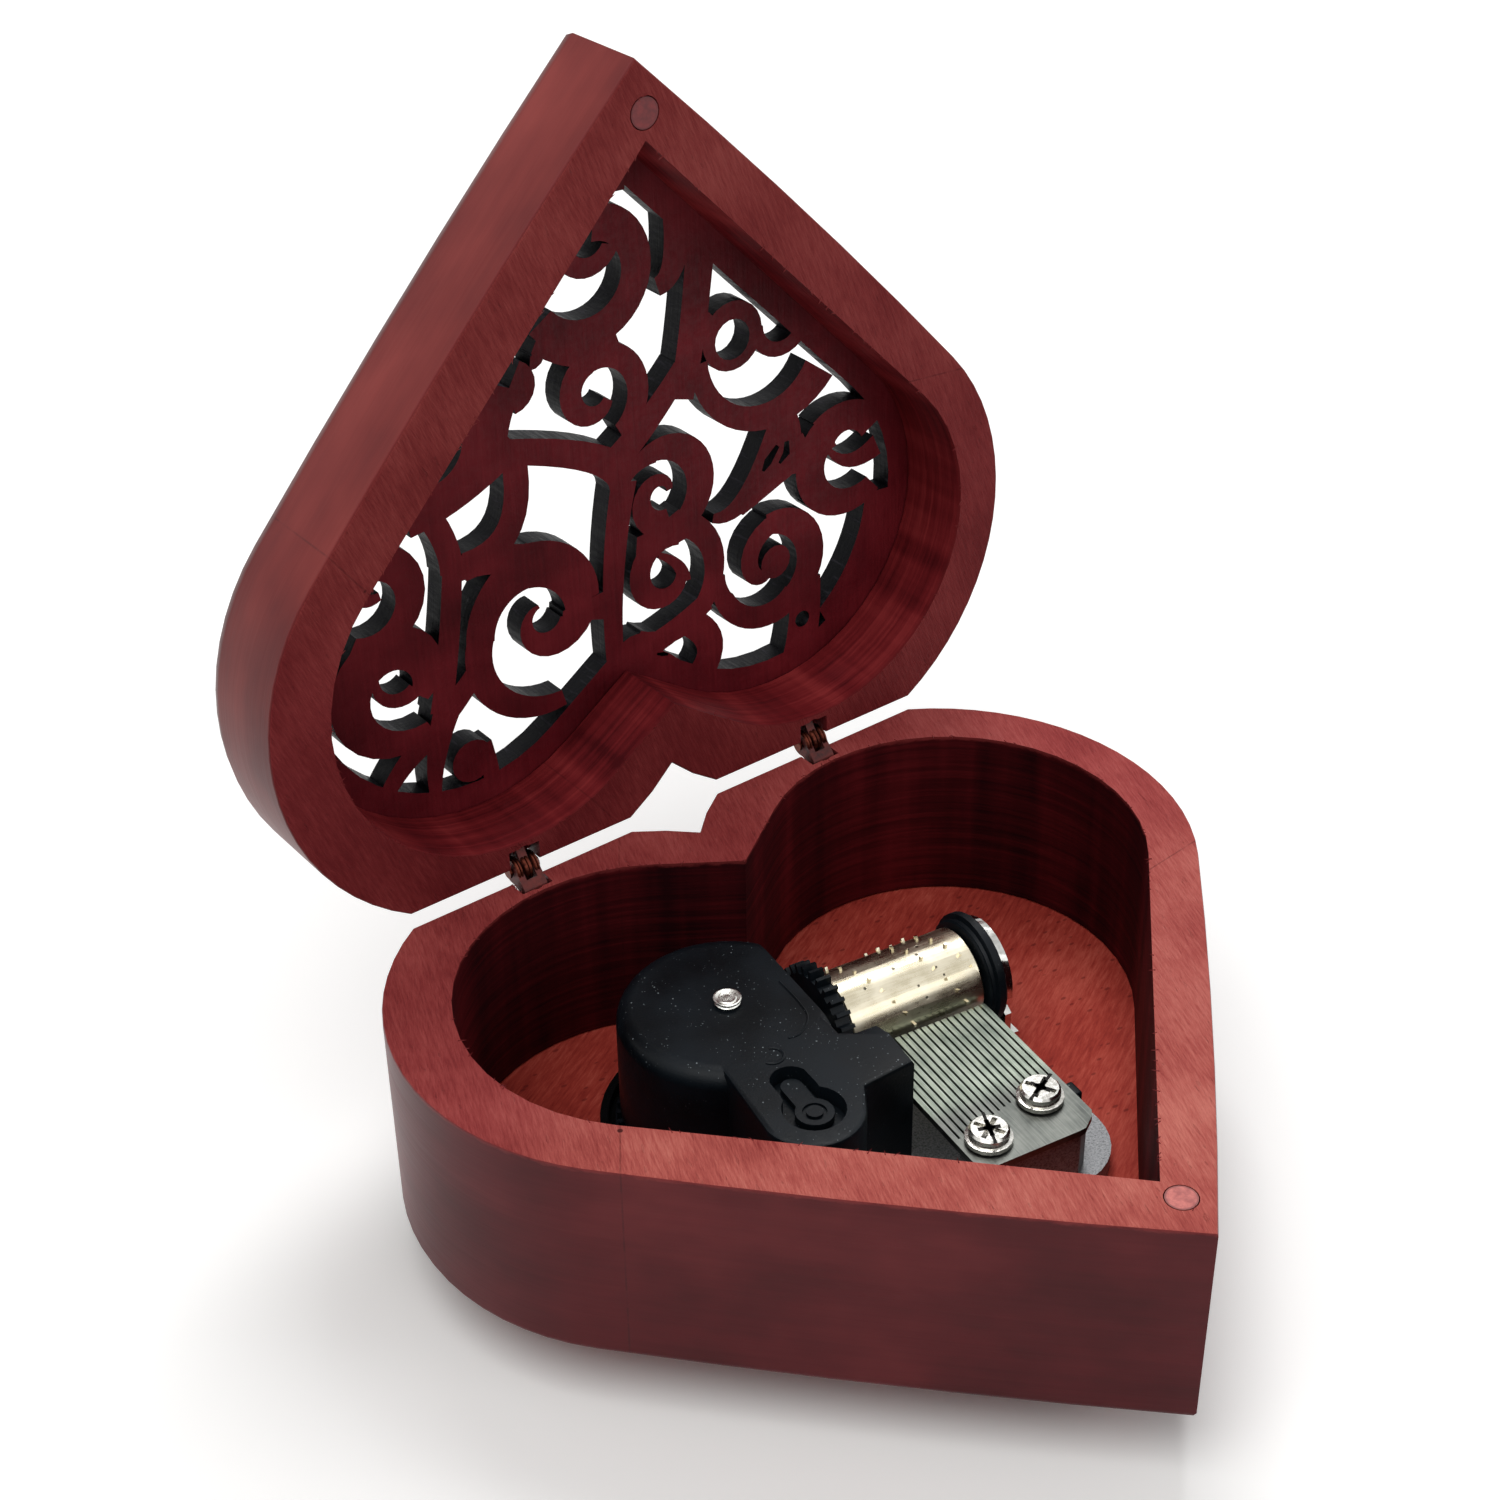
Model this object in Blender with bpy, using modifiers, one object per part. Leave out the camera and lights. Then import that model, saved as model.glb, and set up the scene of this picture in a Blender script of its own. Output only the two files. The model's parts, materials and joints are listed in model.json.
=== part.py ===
# Heart-shaped wooden music box, lid open, with an 18-note movement in its pocket.
# Sizes are millimetres and degrees; x runs across the heart, y to the hinges, z up from the table.
import math

import bmesh
import bpy
from mathutils import Vector

for old in list(bpy.data.objects):
    bpy.data.objects.remove(old, do_unlink=True)

MM = 0.001
GAP = 0.3
SMALL_GAP = 0.15

# Levels of the case above the table
FOOT_HEIGHT = 9.7
UNDERSIDE_Z = FOOT_HEIGHT + GAP
BASE_HEIGHT = 30.7
FLOOR_THICKNESS = 3.2
RIM_Z = UNDERSIDE_Z + BASE_HEIGHT
FLOOR_TOP_Z = UNDERSIDE_Z + FLOOR_THICKNESS

# Outline of the heart, measured from the flat backs of its lobes
FLATS_Y = 43.05
HEART_LENGTH = 105.0
LOBE_X = 25.0
LOBE_Y = -29.3
LOBE_RADIUS = 34.2
SIDE_RADIUS = 990.0
BOTTOM_ROUND = 1.1
RIM_ROUND = 0.35

# Pocket, routed alike in the base and in the lid
POCKET_SHIFT = 0.84
POCKET_LOBE_X = 25.2
POCKET_LOBE_Y = -29.9
POCKET_RADIUS = 26.25
POCKET_CLEFT_Y = -15.3
POCKET_TIP_Y = -94.8
FLOOR_LEDGE = 1.5

# Lid
LID_THICKNESS = 16.2
LID_POCKET = 11.9
LID_ROUND = 3.0
PANEL_THICKNESS = 3.4
PANEL_LEDGE = 1.5
OPEN_ANGLE = 91.6
LID_RIM_Z = RIM_Z + GAP

# Closing magnets
MAGNET_RADIUS = 2.0
MAGNET_LENGTH = 5.0
MAGNET_X = 0.9
MAGNET_Y = -98.2

# Hinges
HINGE_X = 24.8
HINGE_Y = 0.85
HINGE_LIFT = 1.3
HINGE_Z = RIM_Z + HINGE_LIFT
LEAF_RADIUS = 1.5
OUTER_LEAF = 0.95
MIDDLE_LEAF = 1.3
LEAF_GAP = 0.2
FORK_DEPTH = 2.45
PIN_RADIUS = 0.5
SHANK_RADIUS = 1.0
SHANK_LENGTH = 8.0
SHANK_Y = -1.85
NOTCH_REACH = 2.9
NOTCH_MARGIN = 0.35
BASE_NOTCH = 1.6
LID_NOTCH = 3.1

# Feet
FOOT_TOP_RADIUS = 3.7
FOOT_BOTTOM_RADIUS = 3.1
FRONT_FOOT_Y = -84.0
REAR_FOOT_REACH = 29.5
FOOT_SCREW_RADIUS = 0.9
FOOT_SCREW_HEAD = 1.7

# Frame of the movement: u along the cylinder, v to the hinges, h above the floor board
ARBOR_X = -15.2
ARBOR_Y = -32.4
MOVEMENT_TURN = 7.8

# Spring housing
DRUM_RADIUS = 14.6
DRUM_FILLET = 2.5
DRUM_FACE_U = 9.8
HOUSING_TOP = 21.8
HOUSING_WALL = 1.0
DRUM_BOTTOM = 5.2
DRUM_BORE = 11.6
ROOF = 1.6
NECK_U = -0.9
NECK_V = -23.0
NECK_RADIUS = 6.9
NECK_ROOF = 3.6
RECESS_DEPTH = 2.5
EDGE_ROUND = 0.6

# Crown wheel and the wheels that it drives
TRAIN_MODULE = 0.5846
CROWN_TEETH = 48
CYLINDER_TEETH = 29
PINION_TEETH = 16
CROWN_BASE = 1.6
CROWN_ROOT = 2.8
PITCH_PLANE = 3.5
CROWN_TOP = 4.0
CROWN_INNER = 12.9
CROWN_OUTER = 15.3
ADDENDUM = 0.5
DEDENDUM = 0.7

# Idler shaft, lying radially over a gap of the crown wheel
IDLER_GAP = -10
IDLER_ANGLE = IDLER_GAP * 360.0 / CROWN_TEETH
PINION_REACH = 14.5
PINION_WIDTH = 2.0
WORM_WHEEL_REACH = 21.7
WORM_WHEEL_TEETH = 24
WORM_WHEEL_RADIUS = 4.3
WORM_WHEEL_WIDTH = 0.9
IDLER_SHAFT_RADIUS = 0.45
IDLER_START = 12.3
IDLER_END = 24.0

# Governor
WORM_HELIX = 1.05
WORM_THREAD = 0.26
WORM_CORE = 0.84
WORM_TURNS = 3
FAN_REACH = 3.5
FAN_LOW = 14.0
FAN_HIGH = 17.4
FAN_THICKNESS = 0.8
GOVERNOR_SHAFT_RADIUS = 0.4

# Cylinder group
AXIS_H = 12.0
CYLINDER_RADIUS = 6.6
CYLINDER_START = 15.5
CYLINDER_END = 36.3
GEAR_START = 12.9
GEAR_END = 15.0
FLANGE_START = 36.7
FLANGE_END = 39.1
FLANGE_RADIUS = 8.1
SHAFT_RADIUS = 0.8
PIN_HEIGHT = 0.5
PIN_SIZE = 0.4
BRACKET_START = 39.5
BRACKET_THICKNESS = 1.0
BRACKET_RADIUS = 7.0
BRACKET_FOOT = 2.4

# Comb
COMB_TEETH = 18
COMB_PITCH = 1.05
COMB_LEFT = 17.05
COMB_TIP_V = -7.35
COMB_ROOT_V = -34.6
COMB_TOP = 12.1
COMB_THICKNESS = 1.0
COMB_SLOT = 0.32
SLOT_END_LEFT = -28.3
SLOT_END_RIGHT = -23.6
COMB_CHAMFER = 3.0
COMB_SCREW_HEAD = 3.15
COMB_SCREW_TOP = 14.3
COMB_SCREW_SHANK = 1.2
COMB_SCREWS = ((30.96, -27.15), (20.93, -30.27))

# Bedplate
BED_TOP = 3.0
BED_RADIUS = 17.4
BED_RECESS = 16.3
BED_RECESS_FLOOR = 1.3
BED_RIGHT = 41.8
BED_FRONT = -35.0
BED_BACK = 9.5
BED_CORNER = 9.0
BED_SCREWS = ((26.0, -31.0), (37.5, 5.5), (-4.0, -31.0))
BED_SCREW_RADIUS = 1.0
BED_SCREW_HEAD = 2.0

# Winding arbor and key
ARBOR_RADIUS = 1.9
ARBOR_NECK = 1.3
RIVET_RADIUS = 1.75
ARBOR_FOOT = 1.5
KEY_TUBE_RADIUS = 2.4
KEY_HOLE_RADIUS = 4.0
KEY_WING_REACH = 10.0
KEY_WING_HEIGHT = 6.5
KEY_LOW = 1.6
KEY_THICKNESS = 1.6

MAIN = bpy.data.collections.new("Wooden music box")
CUTTERS = bpy.data.collections.new("Cutters")
RIBBONS = bpy.data.collections.new("Fretwork ribbons")
bpy.context.scene.collection.children.link(MAIN)
bpy.context.scene.collection.children.link(CUTTERS)
CUTTERS.children.link(RIBBONS)


def material(name, colour, roughness, metallic):
    """A Principled material in one colour."""
    made = bpy.data.materials.new(name)
    made.use_nodes = True
    shader = made.node_tree.nodes["Principled BSDF"]
    shader.inputs["Base Color"].default_value = (*colour, 1.0)
    shader.inputs["Roughness"].default_value = roughness
    shader.inputs["Metallic"].default_value = metallic
    made.diffuse_color = (*colour, 1.0)
    return made


STAINED_WOOD = material("stained_wood", (0.17, 0.022, 0.022), 0.45, 0.0)
PANEL_WOOD = material("panel_wood", (0.09, 0.010, 0.014), 0.5, 0.0)
FLOOR_WOOD = material("floor_wood", (0.36, 0.07, 0.05), 0.55, 0.0)
RUBBER = material("rubber", (0.02, 0.02, 0.02), 0.8, 0.0)
HINGE_BRASS = material("hinge_brass", (0.38, 0.20, 0.10), 0.4, 1.0)
MAGNET_METAL = material("magnet_metal", (0.25, 0.05, 0.05), 0.4, 0.6)
BLACK_PLASTIC = material("black_plastic", (0.018, 0.022, 0.035), 0.4, 0.0)
CAST_METAL = material("cast_metal", (0.5, 0.5, 0.5), 0.5, 1.0)
NICKEL = material("nickel", (0.72, 0.66, 0.58), 0.28, 1.0)
COMB_STEEL = material("comb_steel", (0.42, 0.43, 0.40), 0.32, 1.0)
CHROME = material("chrome", (0.8, 0.8, 0.82), 0.12, 1.0)
SPRING_STEEL = material("spring_steel", (0.2, 0.21, 0.24), 0.3, 1.0)
BRASS = material("brass", (0.7, 0.5, 0.2), 0.3, 1.0)
SCREW_STEEL = material("screw_steel", (0.7, 0.7, 0.68), 0.25, 1.0)


def axis_empty(name, parent, location, rotation=(0.0, 0.0, 0.0)):
    """An empty that carries the pieces of one frame or one joint."""
    made = bpy.data.objects.new(name, None)
    made.empty_display_size = 0.01
    made.parent = parent
    made.location = Vector(location) * MM
    made.rotation_euler = [math.radians(angle) for angle in rotation]
    MAIN.objects.link(made)
    return made


# Frames and joint axes
case = axis_empty("case", None, (0.0, FLATS_Y, 0.0))
lid_pivot = axis_empty("lid_pivot", case, (0.0, HINGE_Y, HINGE_Z), (-OPEN_ANGLE, 0.0, 0.0))
LID_SHIFT = (0.0, -HINGE_Y, -HINGE_Z)
movement = axis_empty("movement", case, (ARBOR_X, ARBOR_Y, FLOOR_TOP_Z), (0.0, 0.0, -MOVEMENT_TURN))
winder = axis_empty("winder", movement, (0.0, 0.0, 0.0))
cylinder_axis = axis_empty("cylinder_axis", movement, (0.0, 0.0, AXIS_H), (0.0, 90.0, 0.0))
IDLER_H = PITCH_PLANE + 0.5 * TRAIN_MODULE * PINION_TEETH
idler_axis = axis_empty("idler_axis", movement, (0.0, 0.0, IDLER_H), (0.0, 90.0, IDLER_ANGLE))
WORM_DISTANCE = WORM_WHEEL_RADIUS + 1.2
idler_u = math.cos(math.radians(IDLER_ANGLE))
idler_v = math.sin(math.radians(IDLER_ANGLE))
GOVERNOR_U = WORM_WHEEL_REACH * idler_u + WORM_DISTANCE * idler_v
GOVERNOR_V = WORM_WHEEL_REACH * idler_v - WORM_DISTANCE * idler_u
governor_axis = axis_empty("governor_axis", movement, (GOVERNOR_U, GOVERNOR_V, 0.0))


def settle(made, parent, surface, location=(0.0, 0.0, 0.0)):
    """Link a new object under its frame with its material."""
    MAIN.objects.link(made)
    made.parent = parent
    made.location = Vector(location) * MM
    if surface is not None:
        made.data.materials.append(surface)
    return made


def plate(name, outlines, low, high, parent, surface=None, location=(0.0, 0.0, 0.0)):
    """A flat outline with its holes, given a thickness as a filled 2D curve."""
    curve = bpy.data.curves.new(name, "CURVE")
    curve.dimensions = "2D"
    curve.fill_mode = "BOTH"
    curve.extrude = 0.5 * (high - low) * MM
    for outline in outlines:
        spline = curve.splines.new("POLY")
        spline.points.add(len(outline) - 1)
        for point, (x, y) in zip(spline.points, outline):
            point.co = (x * MM, y * MM, 0.0, 1.0)
        spline.use_cyclic_u = True
    sketch = bpy.data.objects.new(name + "_sketch", curve)
    MAIN.objects.link(sketch)
    bpy.context.view_layer.update()
    graph = bpy.context.evaluated_depsgraph_get()
    mesh = bpy.data.meshes.new_from_object(sketch.evaluated_get(graph))
    mesh.name = name
    bpy.data.objects.remove(sketch, do_unlink=True)
    bm = bmesh.new()
    bm.from_mesh(mesh)
    bmesh.ops.remove_doubles(bm, verts=bm.verts, dist=1e-7)
    bmesh.ops.dissolve_limit(bm, angle_limit=0.001, verts=[], edges=bm.edges)
    bmesh.ops.translate(bm, verts=bm.verts, vec=(0.0, 0.0, 0.5 * (low + high) * MM))
    bmesh.ops.recalc_face_normals(bm, faces=bm.faces)
    bm.to_mesh(mesh)
    bm.free()
    return settle(bpy.data.objects.new(name, mesh), parent, surface, location)


def turned(name, profile, steps, parent, surface=None, location=(0.0, 0.0, 0.0), ring=False):
    """A profile of radius and height pairs with a Screw modifier."""
    points = [(radius * MM, 0.0, height * MM) for radius, height in profile]
    edges = [(i, i + 1) for i in range(len(points) - 1)]
    if ring:
        edges.append((len(points) - 1, 0))
    mesh = bpy.data.meshes.new(name)
    mesh.from_pydata(points, edges, [])
    made = settle(bpy.data.objects.new(name, mesh), parent, surface, location)
    screw = made.modifiers.new("Turn", "SCREW")
    screw.steps = steps
    screw.render_steps = steps
    screw.use_merge_vertices = True
    screw.merge_threshold = 1e-6
    return made


def rod(name, radius, low, high, sides, parent, surface=None, location=(0.0, 0.0, 0.0)):
    """A plain round rod along its frame's z axis."""
    bm = bmesh.new()
    depth = (high - low) * MM
    bmesh.ops.create_cone(
        bm, cap_ends=True, segments=sides, radius1=radius * MM, radius2=radius * MM, depth=depth
    )
    bmesh.ops.translate(bm, verts=bm.verts, vec=(0.0, 0.0, 0.5 * (low + high) * MM))
    mesh = bpy.data.meshes.new(name)
    bm.to_mesh(mesh)
    bm.free()
    return settle(bpy.data.objects.new(name, mesh), parent, surface, location)


def block(name, low, high, parent, surface=None, location=(0.0, 0.0, 0.0)):
    """A plain block between two corners."""
    size = Vector(high) - Vector(low)
    middle = (Vector(high) + Vector(low)) * 0.5
    bm = bmesh.new()
    bmesh.ops.create_cube(bm, size=1.0)
    bmesh.ops.scale(bm, verts=bm.verts, vec=size * MM)
    bmesh.ops.translate(bm, verts=bm.verts, vec=middle * MM)
    mesh = bpy.data.meshes.new(name)
    bm.to_mesh(mesh)
    bm.free()
    return settle(bpy.data.objects.new(name, mesh), parent, surface, location)


def stand(made, rotation):
    """Turn an object about its own origin by angles in degrees."""
    made.rotation_euler = [math.radians(angle) for angle in rotation]
    return made


def use_boolean(target, tool, operation):
    """Add an exact Boolean that stays editable, and put its tool away."""
    step = target.modifiers.new(tool.name, "BOOLEAN")
    step.operation = operation
    step.solver = "EXACT"
    step.object = tool
    if tool.name in MAIN.objects:
        MAIN.objects.unlink(tool)
        CUTTERS.objects.link(tool)
    tool.display_type = "WIRE"
    tool.hide_render = True


def cut(target, *tools):
    """Take each tool away from the target."""
    for tool in tools:
        use_boolean(target, tool, "DIFFERENCE")


def join(target, *tools):
    """Unite each tool with the target."""
    for tool in tools:
        use_boolean(target, tool, "UNION")


def round_edges(made, width, segments, level_weights=None, angle=30.0):
    """A Bevel modifier on all sharp edges, or on flat edge loops at given heights."""
    bevel = made.modifiers.new("Round", "BEVEL")
    bevel.width = width * MM
    bevel.segments = segments
    bevel.use_clamp_overlap = True
    if level_weights is None:
        bevel.limit_method = "ANGLE"
        bevel.angle_limit = math.radians(angle)
        return
    bevel.limit_method = "WEIGHT"
    mesh = made.data
    weights = mesh.attributes.new("bevel_weight_edge", "FLOAT", "EDGE")
    for edge in mesh.edges:
        heights = [mesh.vertices[i].co.z / MM for i in edge.vertices]
        for level, weight in level_weights:
            if max(abs(height - level) for height in heights) < 0.001:
                weights.data[edge.index].value = weight


def arc(cx, cy, radius, start, end, steps):
    """Points of an arc with both ends, angles in degrees."""
    points = []
    for i in range(steps + 1):
        angle = math.radians(start + (end - start) * i / steps)
        points.append((cx + radius * math.cos(angle), cy + radius * math.sin(angle)))
    return points


def circle(cx, cy, radius, sides):
    """Points of a full circle."""
    return arc(cx, cy, radius, 0.0, 360.0, sides)[:-1]


def hull_of_discs(first, radius_a, second, radius_b, steps):
    """Outline of a link whose round ends have the two radii."""
    a = Vector(first)
    b = Vector(second)
    heading = math.degrees(math.atan2(b.y - a.y, b.x - a.x))
    lean = math.degrees(math.acos((radius_a - radius_b) / (b - a).length))
    points = arc(b.x, b.y, radius_b, heading - lean, heading + lean, steps)
    points += arc(a.x, a.y, radius_a, heading + lean, heading + 360.0 - lean, 2 * steps)
    return points


def side_centre():
    """Centre of the long side arc that touches the right lobe and ends in the tip."""
    tip = Vector((0.0, -HEART_LENGTH))
    span = Vector((LOBE_X, LOBE_Y)) - tip
    near = SIDE_RADIUS - LOBE_RADIUS
    along = (SIDE_RADIUS**2 - near**2 + span.length_squared) / (2.0 * span.length)
    across = math.sqrt(SIDE_RADIUS**2 - along**2)
    unit = span.normalized()
    return tip + unit * along + Vector((-unit.y, unit.x)) * across


def case_outline():
    """Outer outline of the heart: cleft, flat back, lobe, long bowed side and tip."""
    centre = side_centre()
    touch = Vector((LOBE_X, LOBE_Y)) - centre
    touch_angle = math.degrees(math.atan2(touch.y, touch.x))
    flat_angle = math.degrees(math.asin(-LOBE_Y / LOBE_RADIUS))
    cleft_angle = 180.0 - math.degrees(math.acos(LOBE_X / LOBE_RADIUS))
    tip_angle = math.degrees(math.atan2(-HEART_LENGTH - centre.y, -centre.x))
    half = arc(LOBE_X, LOBE_Y, LOBE_RADIUS, cleft_angle, 180.0 - flat_angle, 2)
    half += arc(LOBE_X, LOBE_Y, LOBE_RADIUS, flat_angle, touch_angle, 18)
    half += arc(centre.x, centre.y, SIDE_RADIUS, touch_angle, tip_angle, 5)[1:]
    return half + [(-x, y) for x, y in reversed(half[1:-1])]


def pocket_outline(margin):
    """Outline of the routed pocket, moved outwards by a margin."""
    rise = POCKET_LOBE_Y - POCKET_CLEFT_Y
    lean = math.asin(POCKET_RADIUS / math.hypot(POCKET_LOBE_X, rise))
    cleft_line = math.atan2(rise, POCKET_LOBE_X) + lean
    drop = POCKET_LOBE_Y - POCKET_TIP_Y
    lean = math.asin(POCKET_RADIUS / math.hypot(POCKET_LOBE_X, drop))
    tip_line = math.atan2(drop, POCKET_LOBE_X) - lean
    first = math.degrees(cleft_line) + 90.0
    last = math.degrees(tip_line) - 90.0
    half = [(0.0, POCKET_CLEFT_Y + margin / math.cos(cleft_line))]
    half += arc(POCKET_LOBE_X, POCKET_LOBE_Y, POCKET_RADIUS + margin, first, last, 20)
    half.append((0.0, POCKET_TIP_Y - margin / math.cos(tip_line)))
    mirrored = [(-x, y) for x, y in reversed(half[1:-1])]
    return [(x + POCKET_SHIFT, y) for x, y in half + mirrored]


def gear_outline(teeth, root, tip, tooth_share, phase):
    """A spur gear's outline with straight-sided teeth; phase turns the first tooth."""
    step = 360.0 / teeth
    points = []
    for i in range(teeth):
        middle = phase + i * step
        for share, radius in ((-0.62, root), (-0.38, tip), (0.38, tip), (0.62, root)):
            angle = math.radians(middle + share * tooth_share * step)
            points.append((radius * math.cos(angle), radius * math.sin(angle)))
    return points


# Base frame with its pocket, the rebate for the floor board and the hinge notches
base_frame = plate("base_frame", [case_outline()], UNDERSIDE_Z, RIM_Z, case, STAINED_WOOD)
rim_share = RIM_ROUND / BOTTOM_ROUND
round_edges(base_frame, BOTTOM_ROUND, 2, ((UNDERSIDE_Z, 1.0), (RIM_Z, rim_share)))
ledge_top = UNDERSIDE_Z + FLOOR_THICKNESS + GAP
cut(
    base_frame,
    plate("base_pocket", [pocket_outline(0.0)], UNDERSIDE_Z - 1.0, RIM_Z + 1.0, case),
    plate("floor_rebate", [pocket_outline(FLOOR_LEDGE + GAP)], UNDERSIDE_Z - 2.0, ledge_top, case),
    rod("base_magnet_bore", MAGNET_RADIUS + SMALL_GAP, RIM_Z - MAGNET_LENGTH - GAP, RIM_Z + 1.0, 20, case,
        location=(MAGNET_X, MAGNET_Y, 0.0)),
)

floor_board = plate("floor_board", [pocket_outline(FLOOR_LEDGE)], UNDERSIDE_Z, FLOOR_TOP_Z, case, FLOOR_WOOD)
cut(
    floor_board,
    rod("key_hole", KEY_HOLE_RADIUS, UNDERSIDE_Z - 1.0, FLOOR_TOP_Z + 1.0, 28, case,
        location=(ARBOR_X, ARBOR_Y, 0.0)),
)
base_magnet = rod("base_magnet", MAGNET_RADIUS, RIM_Z - MAGNET_LENGTH, RIM_Z, 20, case, MAGNET_METAL,
                  (MAGNET_X, MAGNET_Y, 0.0))

# Lid frame with its pocket and the rebate for the fretwork
lid_top = LID_RIM_Z + LID_THICKNESS
lid_frame = plate("lid_frame", [case_outline()], LID_RIM_Z, lid_top, lid_pivot, STAINED_WOOD, LID_SHIFT)
round_edges(lid_frame, LID_ROUND, 3, ((LID_RIM_Z, RIM_ROUND / LID_ROUND), (lid_top, 1.0)))
panel_low = LID_RIM_Z + LID_POCKET
panel_high = panel_low + PANEL_THICKNESS
cut(
    lid_frame,
    plate("lid_pocket", [pocket_outline(0.0)], LID_RIM_Z - 1.0, lid_top + 1.0, lid_pivot, None, LID_SHIFT),
    plate("panel_rebate", [pocket_outline(PANEL_LEDGE + GAP)], panel_low - GAP, lid_top + 2.0, lid_pivot, None,
          LID_SHIFT),
    rod("lid_magnet_bore", MAGNET_RADIUS + SMALL_GAP, LID_RIM_Z - 1.0, LID_RIM_Z + MAGNET_LENGTH + GAP, 20,
        lid_pivot, None, (MAGNET_X, MAGNET_Y - HINGE_Y, -HINGE_Z)),
)
lid_magnet = rod("lid_magnet", MAGNET_RADIUS, LID_RIM_Z, LID_RIM_Z + MAGNET_LENGTH, 20, lid_pivot,
                 MAGNET_METAL, (MAGNET_X, MAGNET_Y - HINGE_Y, -HINGE_Z))

# Two pivot hinges: a fork in the base, a middle leaf in the lid and a riveted pin
SIDEWAYS = (90.0, 0.0, 90.0)
hinge_half = 0.5 * MIDDLE_LEAF + LEAF_GAP + OUTER_LEAF
notch_half = hinge_half + NOTCH_MARGIN
shank_drop = HINGE_Z - RIM_Z + 0.45
lid_shank_rise = 0.95


def hinge(side, x):
    """One hinge at a place across the heart."""
    spot = (x, HINGE_Y, HINGE_Z)
    eye = (0.0, 0.0)
    base_root = (SHANK_Y - HINGE_Y, -shank_drop)
    lid_root = (SHANK_Y - HINGE_Y, lid_shank_rise)
    fork_outline = hull_of_discs(eye, LEAF_RADIUS, base_root, 0.7, 4)
    fork = plate("hinge_base_" + side, [fork_outline], -hinge_half, hinge_half, case, HINGE_BRASS, spot)
    stand(fork, SIDEWAYS)
    slot = block("fork_slot_" + side, (-0.5 * MIDDLE_LEAF - LEAF_GAP, -FORK_DEPTH, -3.0),
                 (0.5 * MIDDLE_LEAF + LEAF_GAP, 3.0, 3.0), case, None, spot)
    eye_bore = rod("fork_bore_" + side, PIN_RADIUS + SMALL_GAP, -4.0, 4.0, 16, case, None, spot)
    stand(eye_bore, SIDEWAYS)
    shank_top = base_root[1] + 0.2
    shank = rod("fork_shank_" + side, SHANK_RADIUS, shank_top - SHANK_LENGTH, shank_top, 16, case, None,
                (x, SHANK_Y, HINGE_Z))
    cut(fork, slot)
    join(fork, shank)
    cut(fork, eye_bore)
    leaf_outline = hull_of_discs(eye, LEAF_RADIUS, lid_root, 0.75, 4)
    leaf = plate("hinge_lid_" + side, [leaf_outline], -0.5 * MIDDLE_LEAF, 0.5 * MIDDLE_LEAF, lid_pivot,
                 HINGE_BRASS, (x, 0.0, 0.0))
    stand(leaf, SIDEWAYS)
    leaf_bore = rod("leaf_bore_" + side, PIN_RADIUS + 0.05, -4.0, 4.0, 16, lid_pivot, None, (x, 0.0, 0.0))
    stand(leaf_bore, SIDEWAYS)
    leaf_shank = rod("leaf_shank_" + side, SHANK_RADIUS, lid_shank_rise - 0.2, lid_shank_rise + SHANK_LENGTH,
                     16, lid_pivot, None, (x, SHANK_Y - HINGE_Y, 0.0))
    join(leaf, leaf_shank)
    cut(leaf, leaf_bore)
    pin_end = hinge_half + 0.25
    pin_profile = [(0.0, pin_end + 0.3), (PIN_RADIUS + 0.35, pin_end + 0.3), (PIN_RADIUS + 0.35, pin_end)]
    pin_profile += [(PIN_RADIUS, pin_end), (PIN_RADIUS, -pin_end), (PIN_RADIUS + 0.35, -pin_end)]
    pin_profile += [(PIN_RADIUS + 0.35, -pin_end - 0.3), (0.0, -pin_end - 0.3)]
    pin = turned("hinge_pin_" + side, pin_profile, 12, case, HINGE_BRASS, spot)
    stand(pin, SIDEWAYS)
    base_notch = block("base_notch_" + side, (-notch_half - 0.25, -NOTCH_REACH, RIM_Z - BASE_NOTCH),
                       (notch_half + 0.25, 5.0, RIM_Z + 5.0), case, None, (x, 0.0, 0.0))
    base_hole = rod("base_shank_bore_" + side, SHANK_RADIUS + GAP, RIM_Z - SHANK_LENGTH - 0.8, RIM_Z + 1.0,
                    16, case, None, (x, SHANK_Y, 0.0))
    cut(base_frame, base_notch, base_hole)
    lid_notch = block("lid_notch_" + side, (-notch_half - 0.25, -NOTCH_REACH, LID_RIM_Z - 1.0),
                      (notch_half + 0.25, 5.0, LID_RIM_Z + LID_NOTCH), lid_pivot, None,
                      (x, -HINGE_Y, -HINGE_Z))
    lid_hole = rod("lid_shank_bore_" + side, SHANK_RADIUS + GAP, LID_RIM_Z - 1.0,
                   HINGE_Z + lid_shank_rise + SHANK_LENGTH + GAP, 16, lid_pivot, None,
                   (x, SHANK_Y - HINGE_Y, -HINGE_Z))
    cut(lid_frame, lid_notch, lid_hole)


hinge("left", -HINGE_X)
hinge("right", HINGE_X)

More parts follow.
